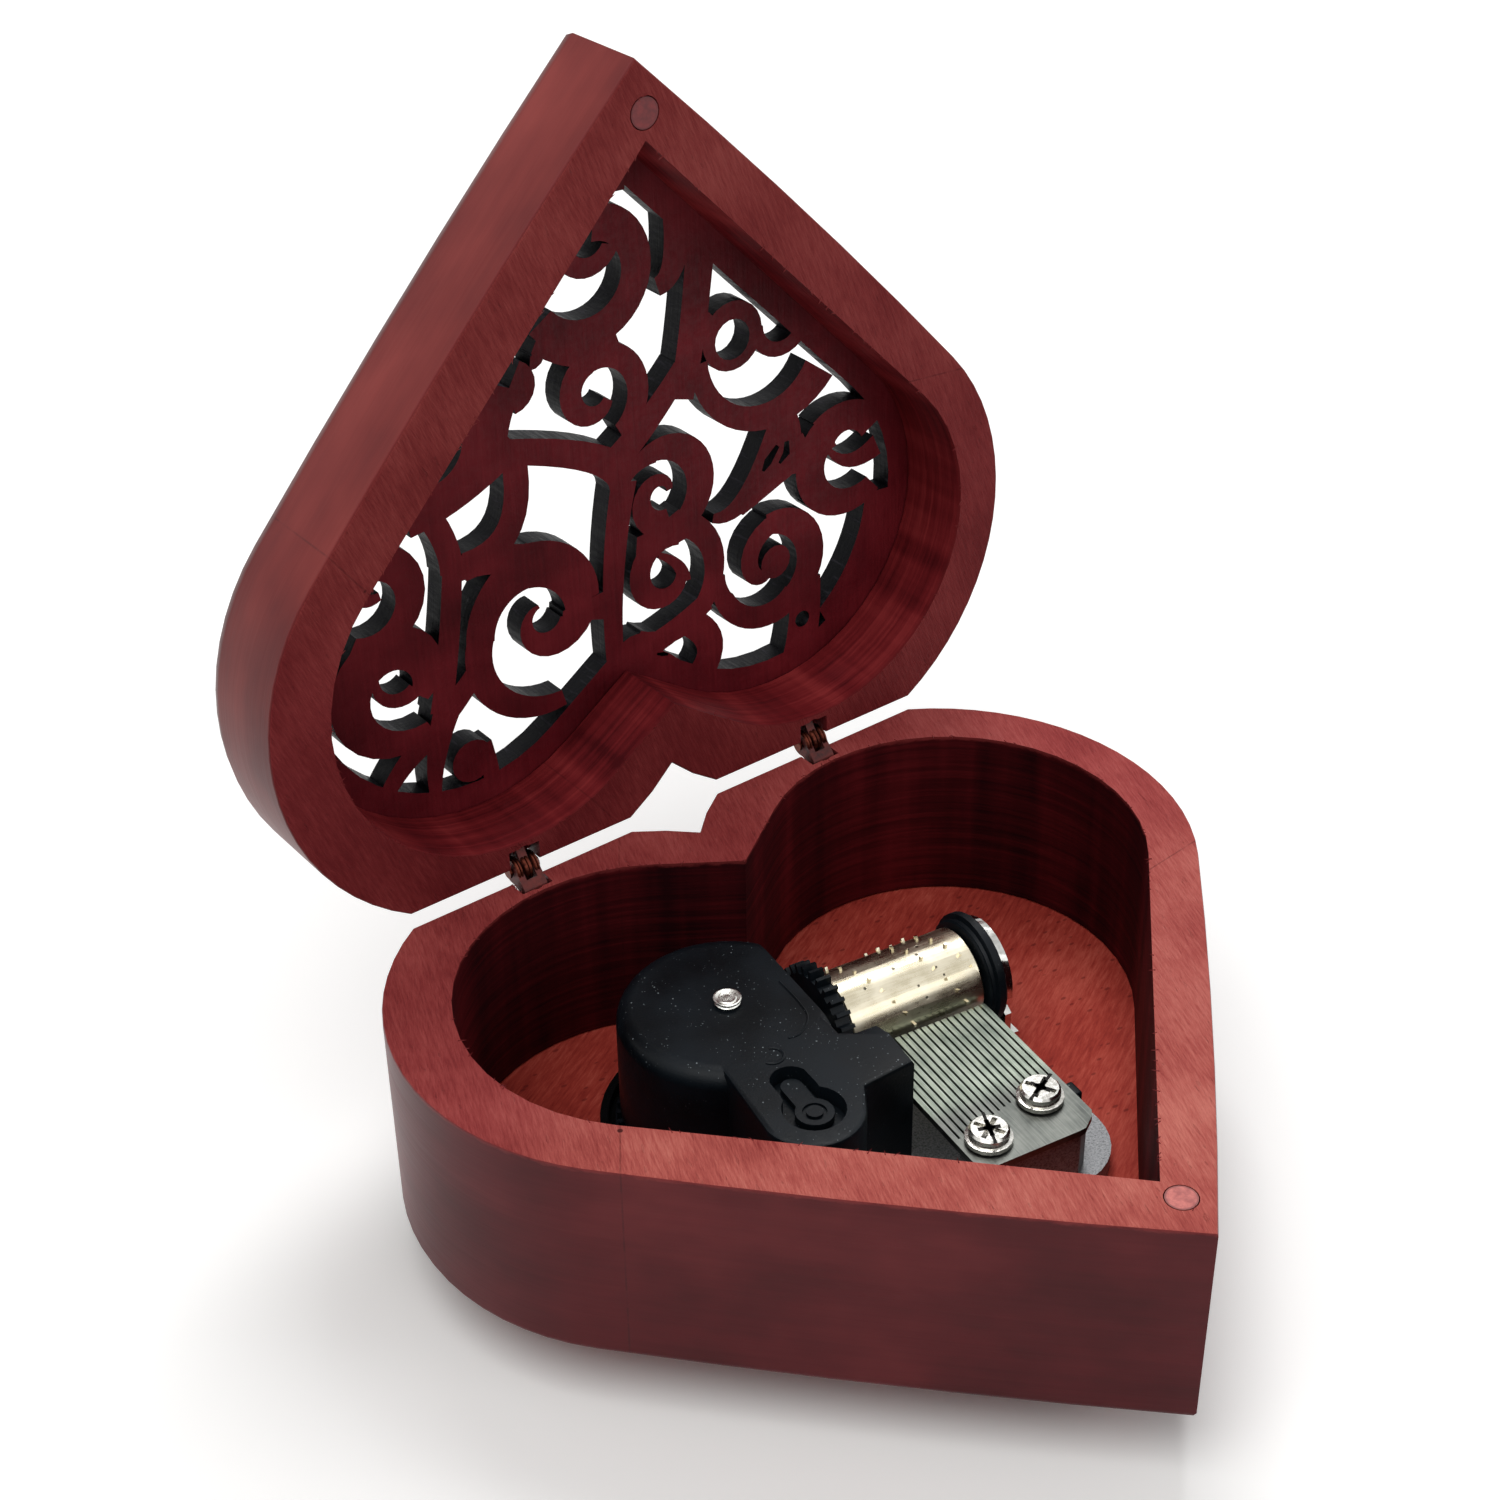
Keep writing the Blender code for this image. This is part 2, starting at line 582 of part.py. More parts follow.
# Rubber feet with one screw in each
rear_reach = REAR_FOOT_REACH * math.cos(math.radians(45.0))
FEET = {
    "front": (0.0, FRONT_FOOT_Y),
    "rear_left": (-LOBE_X - rear_reach, LOBE_Y + rear_reach),
    "rear_right": (LOBE_X + rear_reach, LOBE_Y + rear_reach),
}
screw_floor = 3.0
for side, (x, y) in FEET.items():
    foot_profile = [
        (0.0, FOOT_HEIGHT),
        (FOOT_TOP_RADIUS - 0.3, FOOT_HEIGHT),
        (FOOT_TOP_RADIUS, FOOT_HEIGHT - 0.5),
        (FOOT_BOTTOM_RADIUS, 0.5),
        (FOOT_BOTTOM_RADIUS - 0.5, 0.0),
        (FOOT_SCREW_HEAD + GAP, 0.0),
        (FOOT_SCREW_HEAD + GAP, screw_floor),
        (FOOT_SCREW_RADIUS + SMALL_GAP, screw_floor),
        (FOOT_SCREW_RADIUS + SMALL_GAP, FOOT_HEIGHT),
    ]
    turned("foot_" + side, foot_profile[1:], 16, case, RUBBER, (x, y, 0.0), ring=True)
    screw_reach = UNDERSIDE_Z + (2.4 if side == "front" else 8.0)
    screw_profile = [
        (0.0, screw_reach),
        (FOOT_SCREW_RADIUS, screw_reach - 0.6),
        (FOOT_SCREW_RADIUS, screw_floor - GAP),
        (FOOT_SCREW_HEAD, screw_floor - GAP),
        (FOOT_SCREW_HEAD - 0.3, screw_floor - GAP - 1.2),
        (0.0, screw_floor - GAP - 1.4),
    ]
    turned("foot_screw_" + side, screw_profile, 12, case, SCREW_STEEL, (x, y, 0.0))
    board = floor_board if side == "front" else base_frame
    cut(board, rod("foot_bore_" + side, FOOT_SCREW_RADIUS + SMALL_GAP, UNDERSIDE_Z - 1.0, screw_reach + GAP,
                   16, case, None, (x, y, 0.0)))


# Fretwork: scrolls and stems of the panel, in millimetres of the lid's own outline
def ribbon(points, widths):
    """Outline of a band that follows a line, with a width at each of its points."""
    left = []
    right = []
    last = len(points) - 1
    for i, (x, y) in enumerate(points):
        ahead = Vector(points[min(i + 1, last)])
        behind = Vector(points[max(i - 1, 0)])
        way = (ahead - behind).normalized()
        half = 0.5 * widths[i]
        left.append((x - way.y * half, y + way.x * half))
        right.append((x + way.y * half, y - way.x * half))
    return left + right[::-1]


def add_band(outline, hole=None):
    """Put one band of the fretwork among the ribbons, each a little taller than the last."""
    number = len(RIBBONS.objects)
    spare = 0.5 + 0.05 * number
    outlines = [outline] if hole is None else [outline, hole]
    made = plate("ribbon_%02d" % number, outlines, panel_low - spare, panel_high + spare,
                 lid_pivot, None, LID_SHIFT)
    MAIN.objects.unlink(made)
    RIBBONS.objects.link(made)
    made.display_type = "WIRE"
    made.hide_render = True


def scroll(centre, start, end, radii, widths, steps=18):
    """A spiral band about a centre from one angle to another, its middle width between its ends."""
    outer = []
    inner = []
    for i in range(steps + 1):
        share = i / steps
        angle = math.radians(start + (end - start) * share)
        radius = radii[0] + (radii[1] - radii[0]) * share
        width = widths[0] + (widths[2] - widths[0]) * share
        width += (widths[1] - 0.5 * (widths[0] + widths[2])) * math.sin(math.pi * share)
        far = radius + 0.5 * width
        near = max(radius - 0.5 * width, 0.2)
        outer.append((centre[0] + far * math.cos(angle), centre[1] + far * math.sin(angle)))
        inner.append((centre[0] + near * math.cos(angle), centre[1] + near * math.sin(angle)))
    add_band(outer + inner[::-1])


def stem(start, bend, end, widths, steps=10):
    """A bowed band from one point to another, pulled towards a bend."""
    points = []
    spread = []
    a = Vector(start)
    b = Vector(bend)
    c = Vector(end)
    for i in range(steps + 1):
        share = i / steps
        spot = a * (1.0 - share) ** 2 + b * 2.0 * share * (1.0 - share) + c * share**2
        points.append((spot.x, spot.y))
        spread.append(widths[0] + (widths[1] - widths[0]) * share)
    add_band(ribbon(points, spread))


# Upper left scrolls
scroll((-34.5, -26.3), 62.0, 400.0, (9.0, 3.8), (2.6, 6.6, 3.2), 24)
scroll((-34.4, -27.9), 50.0, 205.0, (3.7, 3.3), (2.6, 1.8, 0.8), 12)
scroll((-37.0, -39.8), 122.0, -140.0, (6.3, 5.2), (2.6, 4.6, 5.2), 18)
stem((-38.8, -43.0), (-38.4, -39.4), (-35.6, -40.3), (3.2, 1.2), 8)
scroll((-24.4, -29.9), 155.0, 215.0, (23.5, 21.0), (1.5, 5.6, 4.5), 10)
# Small scroll under the left lobe's top
add_band(circle(-24.6, -10.7, 3.2, 20))
stem((-21.8, -5.5), (-21.9, -9.0), (-22.6, -12.6), (2.6, 2.4), 6)
stem((-30.7, -6.0), (-31.2, -12.5), (-27.7, -20.0), (1.4, 4.4))
stem((-39.5, -8.8), (-35.8, -14.6), (-30.5, -17.0), (2.2, 3.8))
stem((-28.0, -19.5), (-24.5, -22.0), (-23.0, -24.0), (4.0, 3.0), 6)
# Large left scroll
scroll((-12.6, -27.0), 75.0, 190.0, (12.6, 9.1), (2.6, 3.9, 4.4), 16)
scroll((-12.6, -27.0), 185.0, 267.0, (9.1, 9.9), (4.4, 5.2, 6.8), 12)
scroll((-12.6, -27.0), 262.0, 350.0, (9.9, 7.4), (6.8, 6.6, 5.6), 12)
scroll((-11.3, -28.3), 20.0, 245.0, (5.3, 2.1), (5.6, 2.8, 0.6), 16)
stem((-8.6, -27.4), (-5.0, -27.0), (-1.0, -26.5), (1.4, 4.6), 4)
# Stems between the left scrolls
stem((-28.6, -20.0), (-25.8, -31.0), (-24.6, -42.0), (3.4, 3.0))
stem((-24.9, -40.0), (-24.6, -46.0), (-30.4, -53.5), (3.4, 3.4))
stem((-23.0, -40.0), (-12.5, -40.0), (-14.3, -54.0), (4.2, 3.8))
stem((-30.5, -48.5), (-22.0, -49.6), (-14.0, -55.0), (3.4, 4.2))
stem((-24.6, -39.8), (-20.0, -40.6), (-14.0, -38.0), (3.4, 4.4), 6)
# Middle stem and its two branches
stem((-0.6, -16.0), (-1.0, -31.0), (2.6, -44.0), (2.8, 4.2))
stem((2.5, -44.0), (2.0, -49.0), (-15.0, -54.0), (4.6, 3.6))
stem((0.2, -46.5), (7.2, -51.0), (13.0, -57.5), (4.6, 3.4))
stem((12.5, -53.0), (15.5, -62.0), (17.5, -80.0), (4.2, 4.8))
# Upper and lower scroll right of the stem
scroll((8.3, -26.6), 125.0, -68.0, (8.8, 8.6), (2.4, 3.3, 3.8), 20)
scroll((8.9, -27.6), -62.0, -340.0, (6.1, 2.5), (3.4, 3.4, 2.0), 20)
stem((11.6, -25.4), (11.8, -28.6), (7.6, -31.0), (2.4, 0.9), 8)
scroll((8.6, -40.4), 68.0, -125.0, (6.6, 6.5), (3.6, 4.6, 2.2), 20)
scroll((8.6, -40.0), 75.0, 345.0, (4.6, 1.4), (4.4, 2.6, 1.0), 16)
stem((8.0, -46.2), (3.0, -46.5), (1.5, -42.5), (2.2, 2.8))
stem((4.0, -33.5), (7.0, -33.0), (12.0, -34.5), (3.0, 5.0))
stem((-2.0, -16.5), (7.0, -16.5), (15.5, -21.0), (4.0, 3.4))
stem((3.0, -15.5), (8.0, -14.0), (11.0, -9.5), (5.0, 3.0), 6)
stem((0.5, -17.5), (1.5, -20.0), (5.5, -18.5), (2.5, 2.0), 6)
stem((17.4, -24.0), (17.2, -21.5), (19.3, -18.5), (2.6, 3.0), 6)
# Right lobe scrolls
scroll((27.0, -22.4), 165.0, 60.0, (8.9, 6.9), (3.2, 3.6, 4.4), 12)
scroll((27.0, -22.4), 70.0, -95.0, (7.1, 6.9), (4.0, 4.9, 3.4), 16)
scroll((27.0, -22.4), -85.0, -270.0, (6.8, 0.3), (3.2, 3.2, 1.6), 14)
add_band(circle(27.7, -22.9, 2.6, 16))
scroll((40.5, -35.8), 50.0, 235.0, (8.0, 5.4), (3.4, 4.8, 6.0), 18)
scroll((40.5, -35.8), 230.0, 330.0, (5.8, 6.2), (5.8, 4.6, 5.0), 10)
stem((46.5, -35.5), (41.0, -32.8), (37.8, -37.2), (3.6, 0.9), 8)
scroll((26.04, -29.9), 62.0, 5.0, (21.5, 20.6), (3.0, 4.6, 4.6), 10)
stem((13.0, -9.0), (18.5, -13.5), (12.5, -18.5), (5.0, 4.2))
stem((31.6, -6.5), (33.0, -11.0), (33.0, -18.0), (6.0, 5.6), 6)
# Leaf and lower right arch over its two rings
stem((17.0, -33.5), (22.5, -31.5), (29.0, -42.5), (1.4, 5.6))
stem((21.5, -33.8), (27.5, -36.4), (34.0, -39.5), (3.4, 4.6))
stem((29.8, -36.0), (31.0, -42.0), (28.5, -46.5), (5.4, 5.4))
scroll((27.2, -57.6), 178.0, 38.0, (11.6, 11.4), (3.0, 3.6, 6.0), 18)
add_band(circle(21.4, -59.6, 5.0, 24), circle(21.4, -59.1, 2.9, 18))
scroll((29.4, -59.6), 180.0, 20.0, (3.9, 4.4), (2.2, 2.2, 2.4), 12)
stem((15.5, -60.0), (16.8, -61.5), (18.6, -63.0), (4.0, 3.0))
# Lower scrolls
scroll((-0.9, -57.6), 62.0, -100.0, (7.4, 5.2), (3.4, 3.4, 3.6), 18)
scroll((-0.9, -57.9), -95.0, -325.0, (4.9, 2.2), (3.6, 3.2, 1.6), 18)
scroll((-0.8, -75.0), 148.0, -80.0, (9.2, 6.2), (4.2, 4.6, 5.0), 24)
scroll((-1.6, -79.2), 20.0, 215.0, (4.6, 2.2), (2.6, 2.8, 2.6), 14)
stem((-8.5, -67.0), (-2.5, -62.5), (3.0, -64.5), (3.2, 4.0))
stem((9.6, -69.9), (13.6, -70.5), (13.4, -81.0), (2.8, 5.0))
stem((-3.2, -86.8), (1.0, -87.2), (5.5, -86.8), (5.2, 5.2), 4)
# Bumps and slots on the side that the lid's wall hides
scroll((-14.0, -62.6), 80.0, -60.0, (2.0, 2.0), (3.6, 4.0, 3.6), 8)
scroll((-10.4, -66.2), 100.0, -60.0, (1.0, 1.0), (2.2, 2.4, 2.2), 6)
scroll((-26.5, -58.5), 110.0, -20.0, (7.4, 7.0), (3.4, 3.8, 4.0), 14)
stem((-17.5, -52.0), (-17.2, -58.0), (-14.5, -63.0), (3.8, 5.0))

# Rim of the panel, cut to the pocket, with the ribbons joined and the faces planed flat
PANEL_RIM = 3.6
rim_outline = pocket_outline(PANEL_LEDGE)
opening_outline = pocket_outline(-PANEL_RIM)
fret_panel = plate("fret_panel", [rim_outline, opening_outline], panel_low - 0.3, panel_high + 0.3, lid_pivot,
                   PANEL_WOOD, LID_SHIFT)
gather = fret_panel.modifiers.new("Ribbons", "BOOLEAN")
gather.operation = "UNION"
gather.solver = "EXACT"
gather.operand_type = "COLLECTION"
gather.collection = RIBBONS
plane_off = plate("panel_planes", [rim_outline], panel_low, panel_high, lid_pivot, None, LID_SHIFT)
use_boolean(fret_panel, plane_off, "INTERSECT")
leaf_slits = [
    ribbon([(25.9, -37.9), (26.8, -39.1), (28.6, -41.0)], [0.5, 1.5, 0.8]),
    ribbon([(28.8, -38.2), (30.1, -39.4), (30.2, -41.2)], [0.5, 1.3, 0.8]),
    ribbon([(6.4, -15.7), (7.4, -15.3), (8.3, -14.9)], [0.3, 0.7, 0.3]),
]
for number, slit in enumerate(leaf_slits):
    cut(fret_panel, plate("panel_slit_%d" % number, [slit], panel_low - 1.0, panel_high + 1.0, lid_pivot, None,
                          LID_SHIFT))
cut(fret_panel, plate("panel_eye", [circle(32.3, -11.8, 1.3, 16)], panel_low - 1.0, panel_high + 1.0, lid_pivot,
                      None, LID_SHIFT))

# Bedplate with the recess under the crown wheel and the comb's pedestal
bed_outline = arc(0.0, 0.0, BED_RADIUS, 33.0, 214.0, 26)
bed_outline += [(-9.0, -24.0), (-8.5, -30.5), (-3.0, BED_FRONT)]
corner_u = BED_RIGHT - BED_CORNER
bed_outline += arc(corner_u, BED_FRONT + BED_CORNER, BED_CORNER, -90.0, 0.0, 8)
bed_outline += arc(BED_RIGHT - 3.0, BED_BACK - 3.0, 3.0, 0.0, 90.0, 4)
bedplate = plate("bedplate", [bed_outline], GAP, BED_TOP, movement, CAST_METAL)
pedestal_top = COMB_TOP - COMB_THICKNESS - GAP
comb_right = COMB_LEFT + COMB_TEETH * COMB_PITCH - COMB_SLOT
slot_slope = (SLOT_END_RIGHT - SLOT_END_LEFT) / (comb_right - COMB_LEFT)


def slot_end(u):
    """Where the slots of the comb end, along a slanted line."""
    return SLOT_END_LEFT + slot_slope * (u - COMB_LEFT)


pedestal_outline = [
    (COMB_LEFT + 0.4, COMB_ROOT_V + 0.5),
    (comb_right - COMB_CHAMFER, COMB_ROOT_V + 0.5),
    (comb_right - 0.4, COMB_ROOT_V + COMB_CHAMFER - 0.2),
    (comb_right - 0.4, slot_end(comb_right) - 0.8),
    (COMB_LEFT + 0.4, slot_end(COMB_LEFT) - 0.8),
]
join(bedplate, plate("pedestal", [pedestal_outline], BED_TOP - 0.5, pedestal_top, movement))
cut(
    bedplate,
    rod("crown_recess", BED_RECESS, BED_RECESS_FLOOR, BED_TOP + 1.0, 48, movement),
    rod("arbor_bore", ARBOR_RADIUS + 0.1, -1.0, BED_TOP + 1.0, 24, movement),
    rod("governor_foot_bore", GOVERNOR_SHAFT_RADIUS + 0.1, 0.7, BED_TOP + 1.0, 12, governor_axis),
)

# Movement screws from below, through the floor board
for number, (u, v) in enumerate(BED_SCREWS):
    thread_top = BED_TOP - 0.7
    screw_profile = [
        (0.0, thread_top),
        (BED_SCREW_RADIUS, thread_top - 0.5),
        (BED_SCREW_RADIUS, -FLOOR_THICKNESS + 1.6),
        (BED_SCREW_HEAD, -FLOOR_THICKNESS + 1.6),
        (BED_SCREW_HEAD - 0.3, -FLOOR_THICKNESS + 0.4),
        (0.0, -FLOOR_THICKNESS + 0.3),
    ]
    turned("movement_screw_%d" % number, screw_profile, 12, movement, SCREW_STEEL, (u, v, 0.0))
    bore = rod("board_bore_%d" % number, BED_SCREW_RADIUS + SMALL_GAP, -10.0, thread_top + 0.2, 16, movement,
               None, (u, v, 0.0))
    sink = rod("board_sink_%d" % number, BED_SCREW_HEAD + GAP, -10.0, -FLOOR_THICKNESS + 1.6 + SMALL_GAP, 16,
               movement, None, (u, v, 0.0))
    cut(floor_board, bore, sink)
    cut(bedplate, bore)

# Comb: one steel plate with slots between its teeth
comb_outline = []
for i in range(COMB_TEETH):
    left = COMB_LEFT + i * COMB_PITCH
    right = left + COMB_PITCH - COMB_SLOT
    comb_outline += [(left, COMB_TIP_V), (right, COMB_TIP_V)]
    if i < COMB_TEETH - 1:
        comb_outline += [(right, slot_end(right)), (left + COMB_PITCH, slot_end(right))]
comb_outline += [
    (comb_right, COMB_ROOT_V + COMB_CHAMFER - 0.5),
    (comb_right - 0.6, COMB_ROOT_V + COMB_CHAMFER - 1.4),
    (comb_right - COMB_CHAMFER + 0.4, COMB_ROOT_V + 0.1),
    (comb_right - COMB_CHAMFER - 0.6, COMB_ROOT_V),
    (COMB_LEFT + 1.6, COMB_ROOT_V),
    (COMB_LEFT, COMB_ROOT_V + 0.8),
]
comb_holes = [circle(u, v, COMB_SCREW_SHANK + GAP, 20) for u, v in COMB_SCREWS]
comb = plate("comb", [comb_outline, *comb_holes], COMB_TOP - COMB_THICKNESS, COMB_TOP, movement, COMB_STEEL)

for number, (u, v) in enumerate(COMB_SCREWS):
    head_low = COMB_TOP + GAP
    screw_profile = [
        (0.0, COMB_SCREW_TOP),
        (COMB_SCREW_HEAD - 0.75, COMB_SCREW_TOP),
        (COMB_SCREW_HEAD - 0.45, COMB_SCREW_TOP - 0.3),
        (COMB_SCREW_HEAD - 0.45, head_low + 0.7),
        (COMB_SCREW_HEAD, head_low + 0.6),
        (COMB_SCREW_HEAD, head_low),
        (COMB_SCREW_SHANK, head_low),
        (COMB_SCREW_SHANK, 5.2),
        (0.0, 4.6),
    ]
    screw = turned("comb_screw_%d" % number, screw_profile, 18, movement, SCREW_STEEL, (u, v, 0.0))
    depth = COMB_SCREW_TOP - 1.1
    long_slot = block("screw_slot_a_%d" % number, (-2.1, -0.35, depth), (2.1, 0.35, 20.0), movement, None,
                      (u, v, 0.0))
    short_slot = block("screw_slot_b_%d" % number, (-0.35, -2.1, depth), (0.35, 2.1, 20.0), movement, None,
                       (u, v, 0.0))
    stand(long_slot, (0.0, 0.0, 35.0))
    stand(short_slot, (0.0, 0.0, 35.0))
    cut(screw, long_slot, short_slot)
    cut(bedplate, rod("pedestal_bore_%d" % number, COMB_SCREW_SHANK + GAP, 4.3, 20.0, 20, movement, None,
                      (u, v, 0.0)))

# Black cover over the spring, the idler and the governor
drum_profile = [(0.0, HOUSING_TOP)]
drum_profile += arc(DRUM_RADIUS - DRUM_FILLET, HOUSING_TOP - DRUM_FILLET, DRUM_FILLET, 90.0, 0.0, 5)
drum_profile += [(DRUM_RADIUS, DRUM_BOTTOM), (0.0, DRUM_BOTTOM)]
spring_housing = turned("spring_housing", drum_profile, 44, movement, BLACK_PLASTIC)
neck_outline = [(-7.0, -10.0), (-7.0, -12.1)]
neck_outline += arc(NECK_U, NECK_V, NECK_RADIUS, 187.0, 336.0, 14)
neck_outline += [(7.1, -22.7), (14.9, -21.8), (15.2, -15.6), (14.6, -13.2), (11.5, -13.2), (9.6, -12.2)]
neck_outline += [(9.6, -8.0)]
neck = plate("neck", [neck_outline], GAP + BED_TOP, HOUSING_TOP - 0.02, movement)
round_edges(neck, EDGE_ROUND, 2, ((HOUSING_TOP - 0.02, 1.0),))
face_cut = block("drum_face", (DRUM_FACE_U, -12.0, -1.0), (30.0, 20.0, 30.0), movement)
wheel_room = rod("wheel_room", BED_RECESS + GAP, -1.0, DRUM_BOTTOM, 48, movement)
bore_outline = arc(0.0, 0.0, DRUM_BORE, 42.0, 318.0, 36)
spring_room = plate("spring_room", [bore_outline], -2.0, HOUSING_TOP - ROOF, movement)
inner_wall = DRUM_BORE + 1.6
room_outline = arc(0.0, 0.0, inner_wall, -108.0, -62.0, 8)
room_outline += [(9.0, -11.2), (9.0, -12.8), (11.0, -14.2), (13.6, -14.2), (13.9, -20.8), (7.5, -21.7)]
room_outline += [(4.2, -22.5), (4.6, -25.0)]
room_outline += arc(NECK_U, NECK_V, NECK_RADIUS - HOUSING_WALL, -22.0, -176.0, 12)
room_outline += [(-6.0, -13.5)]
train_room = plate("train_room", [room_outline], -3.0, HOUSING_TOP - NECK_ROOF, movement)
join(spring_housing, neck)
cut(spring_housing, face_cut, wheel_room, spring_room, train_room)
keyhole_outline = arc(-0.5, -17.2, 2.7, 22.0, 158.0, 8)
keyhole_outline += [(-3.1, -18.9)]
keyhole_outline += arc(-0.6, -23.1, 4.1, 130.0, 410.0, 20)
keyhole_outline += [(2.1, -18.9)]
recess = plate("keyhole_recess", [keyhole_outline], HOUSING_TOP - RECESS_DEPTH, HOUSING_TOP + 3.0, movement)
top_bore = rod("rivet_bore", ARBOR_NECK + 0.1, 10.0, HOUSING_TOP + 3.0, 20, movement)
pivot_bore = rod("pivot_bore", GOVERNOR_SHAFT_RADIUS + 0.1, 15.0, HOUSING_TOP + 2.0, 12, governor_axis)
axle_bore = rod("axle_bore", SHAFT_RADIUS + 0.05, 9.0, 30.0, 16, cylinder_axis)
idler_bore = rod("idler_bore", IDLER_SHAFT_RADIUS + 0.05, IDLER_START - 0.3, IDLER_END + 0.1, 12, idler_axis)
cut(spring_housing, recess, top_bore, pivot_bore, axle_bore, idler_bore)

# Lever with the governor's top bearing, lying in the keyhole recess
lever_low = HOUSING_TOP - RECESS_DEPTH + GAP
lever_outline = hull_of_discs((-0.1, -16.8), 1.45, (-0.15, -22.5), 1.44, 8)
governor_lever = plate("governor_lever", [lever_outline], lever_low, lever_low + 0.7, movement, SCREW_STEEL)
lever_boss = rod("lever_boss", 2.5, lever_low, lever_low + 0.95, 20, movement, None, (-0.15, -22.5, 0.0))
jewel_well = rod("jewel_well", 1.6, lever_low + 0.6, lever_low + 3.0, 20, movement, None, (-0.15, -22.5, 0.0))
jewel_post = rod("jewel_post", 1.1, lever_low + 0.3, lever_low + 1.05, 16, movement, None, (-0.15, -22.5, 0.0))
join(governor_lever, lever_boss)
cut(governor_lever, jewel_well)
join(governor_lever, jewel_post)

# Mainspring: one strip wound from near the arbor out to the drum's wall
SPRING_TURNS = 5.0
SPRING_INNER = ARBOR_RADIUS + 0.8
SPRING_OUTER = 8.0
SPRING_STRIP = 0.35
spring_line = []
spring_steps = 70
for i in range(spring_steps + 1):
    share = i / spring_steps
    angle = math.tau * SPRING_TURNS * share
    radius = SPRING_INNER + (SPRING_OUTER - SPRING_INNER) * share
    spring_line.append((radius * math.cos(angle + 2.0), radius * math.sin(angle + 2.0)))
tail_angle = 2.0 + 0.5
spring_line.append((9.6 * math.cos(tail_angle), 9.6 * math.sin(tail_angle)))
spring_line.append(((DRUM_BORE - 0.4) * math.cos(2.8), (DRUM_BORE - 0.4) * math.sin(2.8)))
spring_outline = ribbon(spring_line, [SPRING_STRIP] * len(spring_line))
mainspring = plate("mainspring", [spring_outline], DRUM_BOTTOM + 0.6, HOUSING_TOP - ROOF - GAP, movement,
                   SPRING_STEEL)

# Winder: arbor, crown wheel and wing key on one axis
arbor_profile = [
    (0.0, HOUSING_TOP + GAP + 0.4),
    (RIVET_RADIUS - 0.4, HOUSING_TOP + GAP + 0.4),
    (RIVET_RADIUS, HOUSING_TOP + GAP),
    (ARBOR_NECK, HOUSING_TOP + GAP),
    (ARBOR_NECK, HOUSING_TOP - ROOF - 0.5),
    (ARBOR_RADIUS, HOUSING_TOP - ROOF - 0.8),
    (ARBOR_RADIUS, 0.0),
    (ARBOR_FOOT, -0.6),
    (ARBOR_FOOT, -5.8),
    (0.0, -6.2),
]
winding_arbor = turned("winding_arbor", arbor_profile, 20, winder, BRASS)
crown_profile = [
    (CROWN_OUTER, CROWN_ROOT),
    (CROWN_OUTER, CROWN_BASE),
    (ARBOR_RADIUS + SMALL_GAP, CROWN_BASE),
    (ARBOR_RADIUS + SMALL_GAP, DRUM_BOTTOM - 0.4),
    (4.0, DRUM_BOTTOM - 0.4),
    (4.0, CROWN_ROOT - 0.4),
    (CROWN_INNER - 0.6, CROWN_ROOT - 0.4),
    (CROWN_INNER, CROWN_ROOT),
]
great_wheel = turned("great_wheel", crown_profile, CROWN_TEETH, winder, BRASS, ring=True)

bm = bmesh.new()
crown_middle = 0.5 * (CROWN_INNER + CROWN_OUTER)
crown_step = 360.0 / CROWN_TEETH
tooth_high = CROWN_TOP - CROWN_ROOT
tooth_size = Vector((CROWN_OUTER - CROWN_INNER - 0.4, 0.75, tooth_high + 0.3)) * MM
tooth_spot = Vector((crown_middle, 0.0, CROWN_ROOT + 0.5 * tooth_high - 0.15)) * MM
for i in range(CROWN_TEETH):
    tooth = bmesh.ops.create_cube(bm, size=1.0)["verts"]
    bmesh.ops.scale(bm, verts=tooth, vec=tooth_size)
    bmesh.ops.translate(bm, verts=tooth, vec=tooth_spot)
    around = math.radians((i + 0.5) * crown_step)
    for vert in tooth:
        x, y = vert.co.x, vert.co.y
        vert.co.x = x * math.cos(around) - y * math.sin(around)
        vert.co.y = x * math.sin(around) + y * math.cos(around)
teeth_mesh = bpy.data.meshes.new("crown_teeth")
bm.to_mesh(teeth_mesh)
bm.free()
crown_teeth = settle(bpy.data.objects.new("crown_teeth", teeth_mesh), winder, None)
join(great_wheel, crown_teeth)

key_low_h = KEY_LOW - FLOOR_TOP_Z
key_high_h = key_low_h + KEY_WING_HEIGHT
wing_middle = 0.5 * (key_low_h + key_high_h)
wing_radius = 0.5 * KEY_WING_HEIGHT
wing_outline = arc(KEY_WING_REACH - wing_radius, wing_middle, wing_radius, -90.0, 90.0, 8)
wing_outline += [(2.0, key_high_h - 1.2), (-2.0, key_high_h - 1.2)]
wing_outline += arc(-KEY_WING_REACH + wing_radius, wing_middle, wing_radius, 90.0, 270.0, 8)
wing_outline += [(-2.0, key_low_h + 0.8), (2.0, key_low_h + 0.8)]
winding_key = rod("winding_key", KEY_TUBE_RADIUS, key_low_h + 1.0, -1.2, 20, winder, BRASS)
wings = plate("key_wings", [wing_outline], -0.5 * KEY_THICKNESS, 0.5 * KEY_THICKNESS, winder)
stand(wings, (90.0, 0.0, 0.0))
key_bore = rod("key_bore", ARBOR_FOOT + 0.2, -6.5, 2.0, 20, winder)
join(winding_key, wings)
cut(winding_key, key_bore)

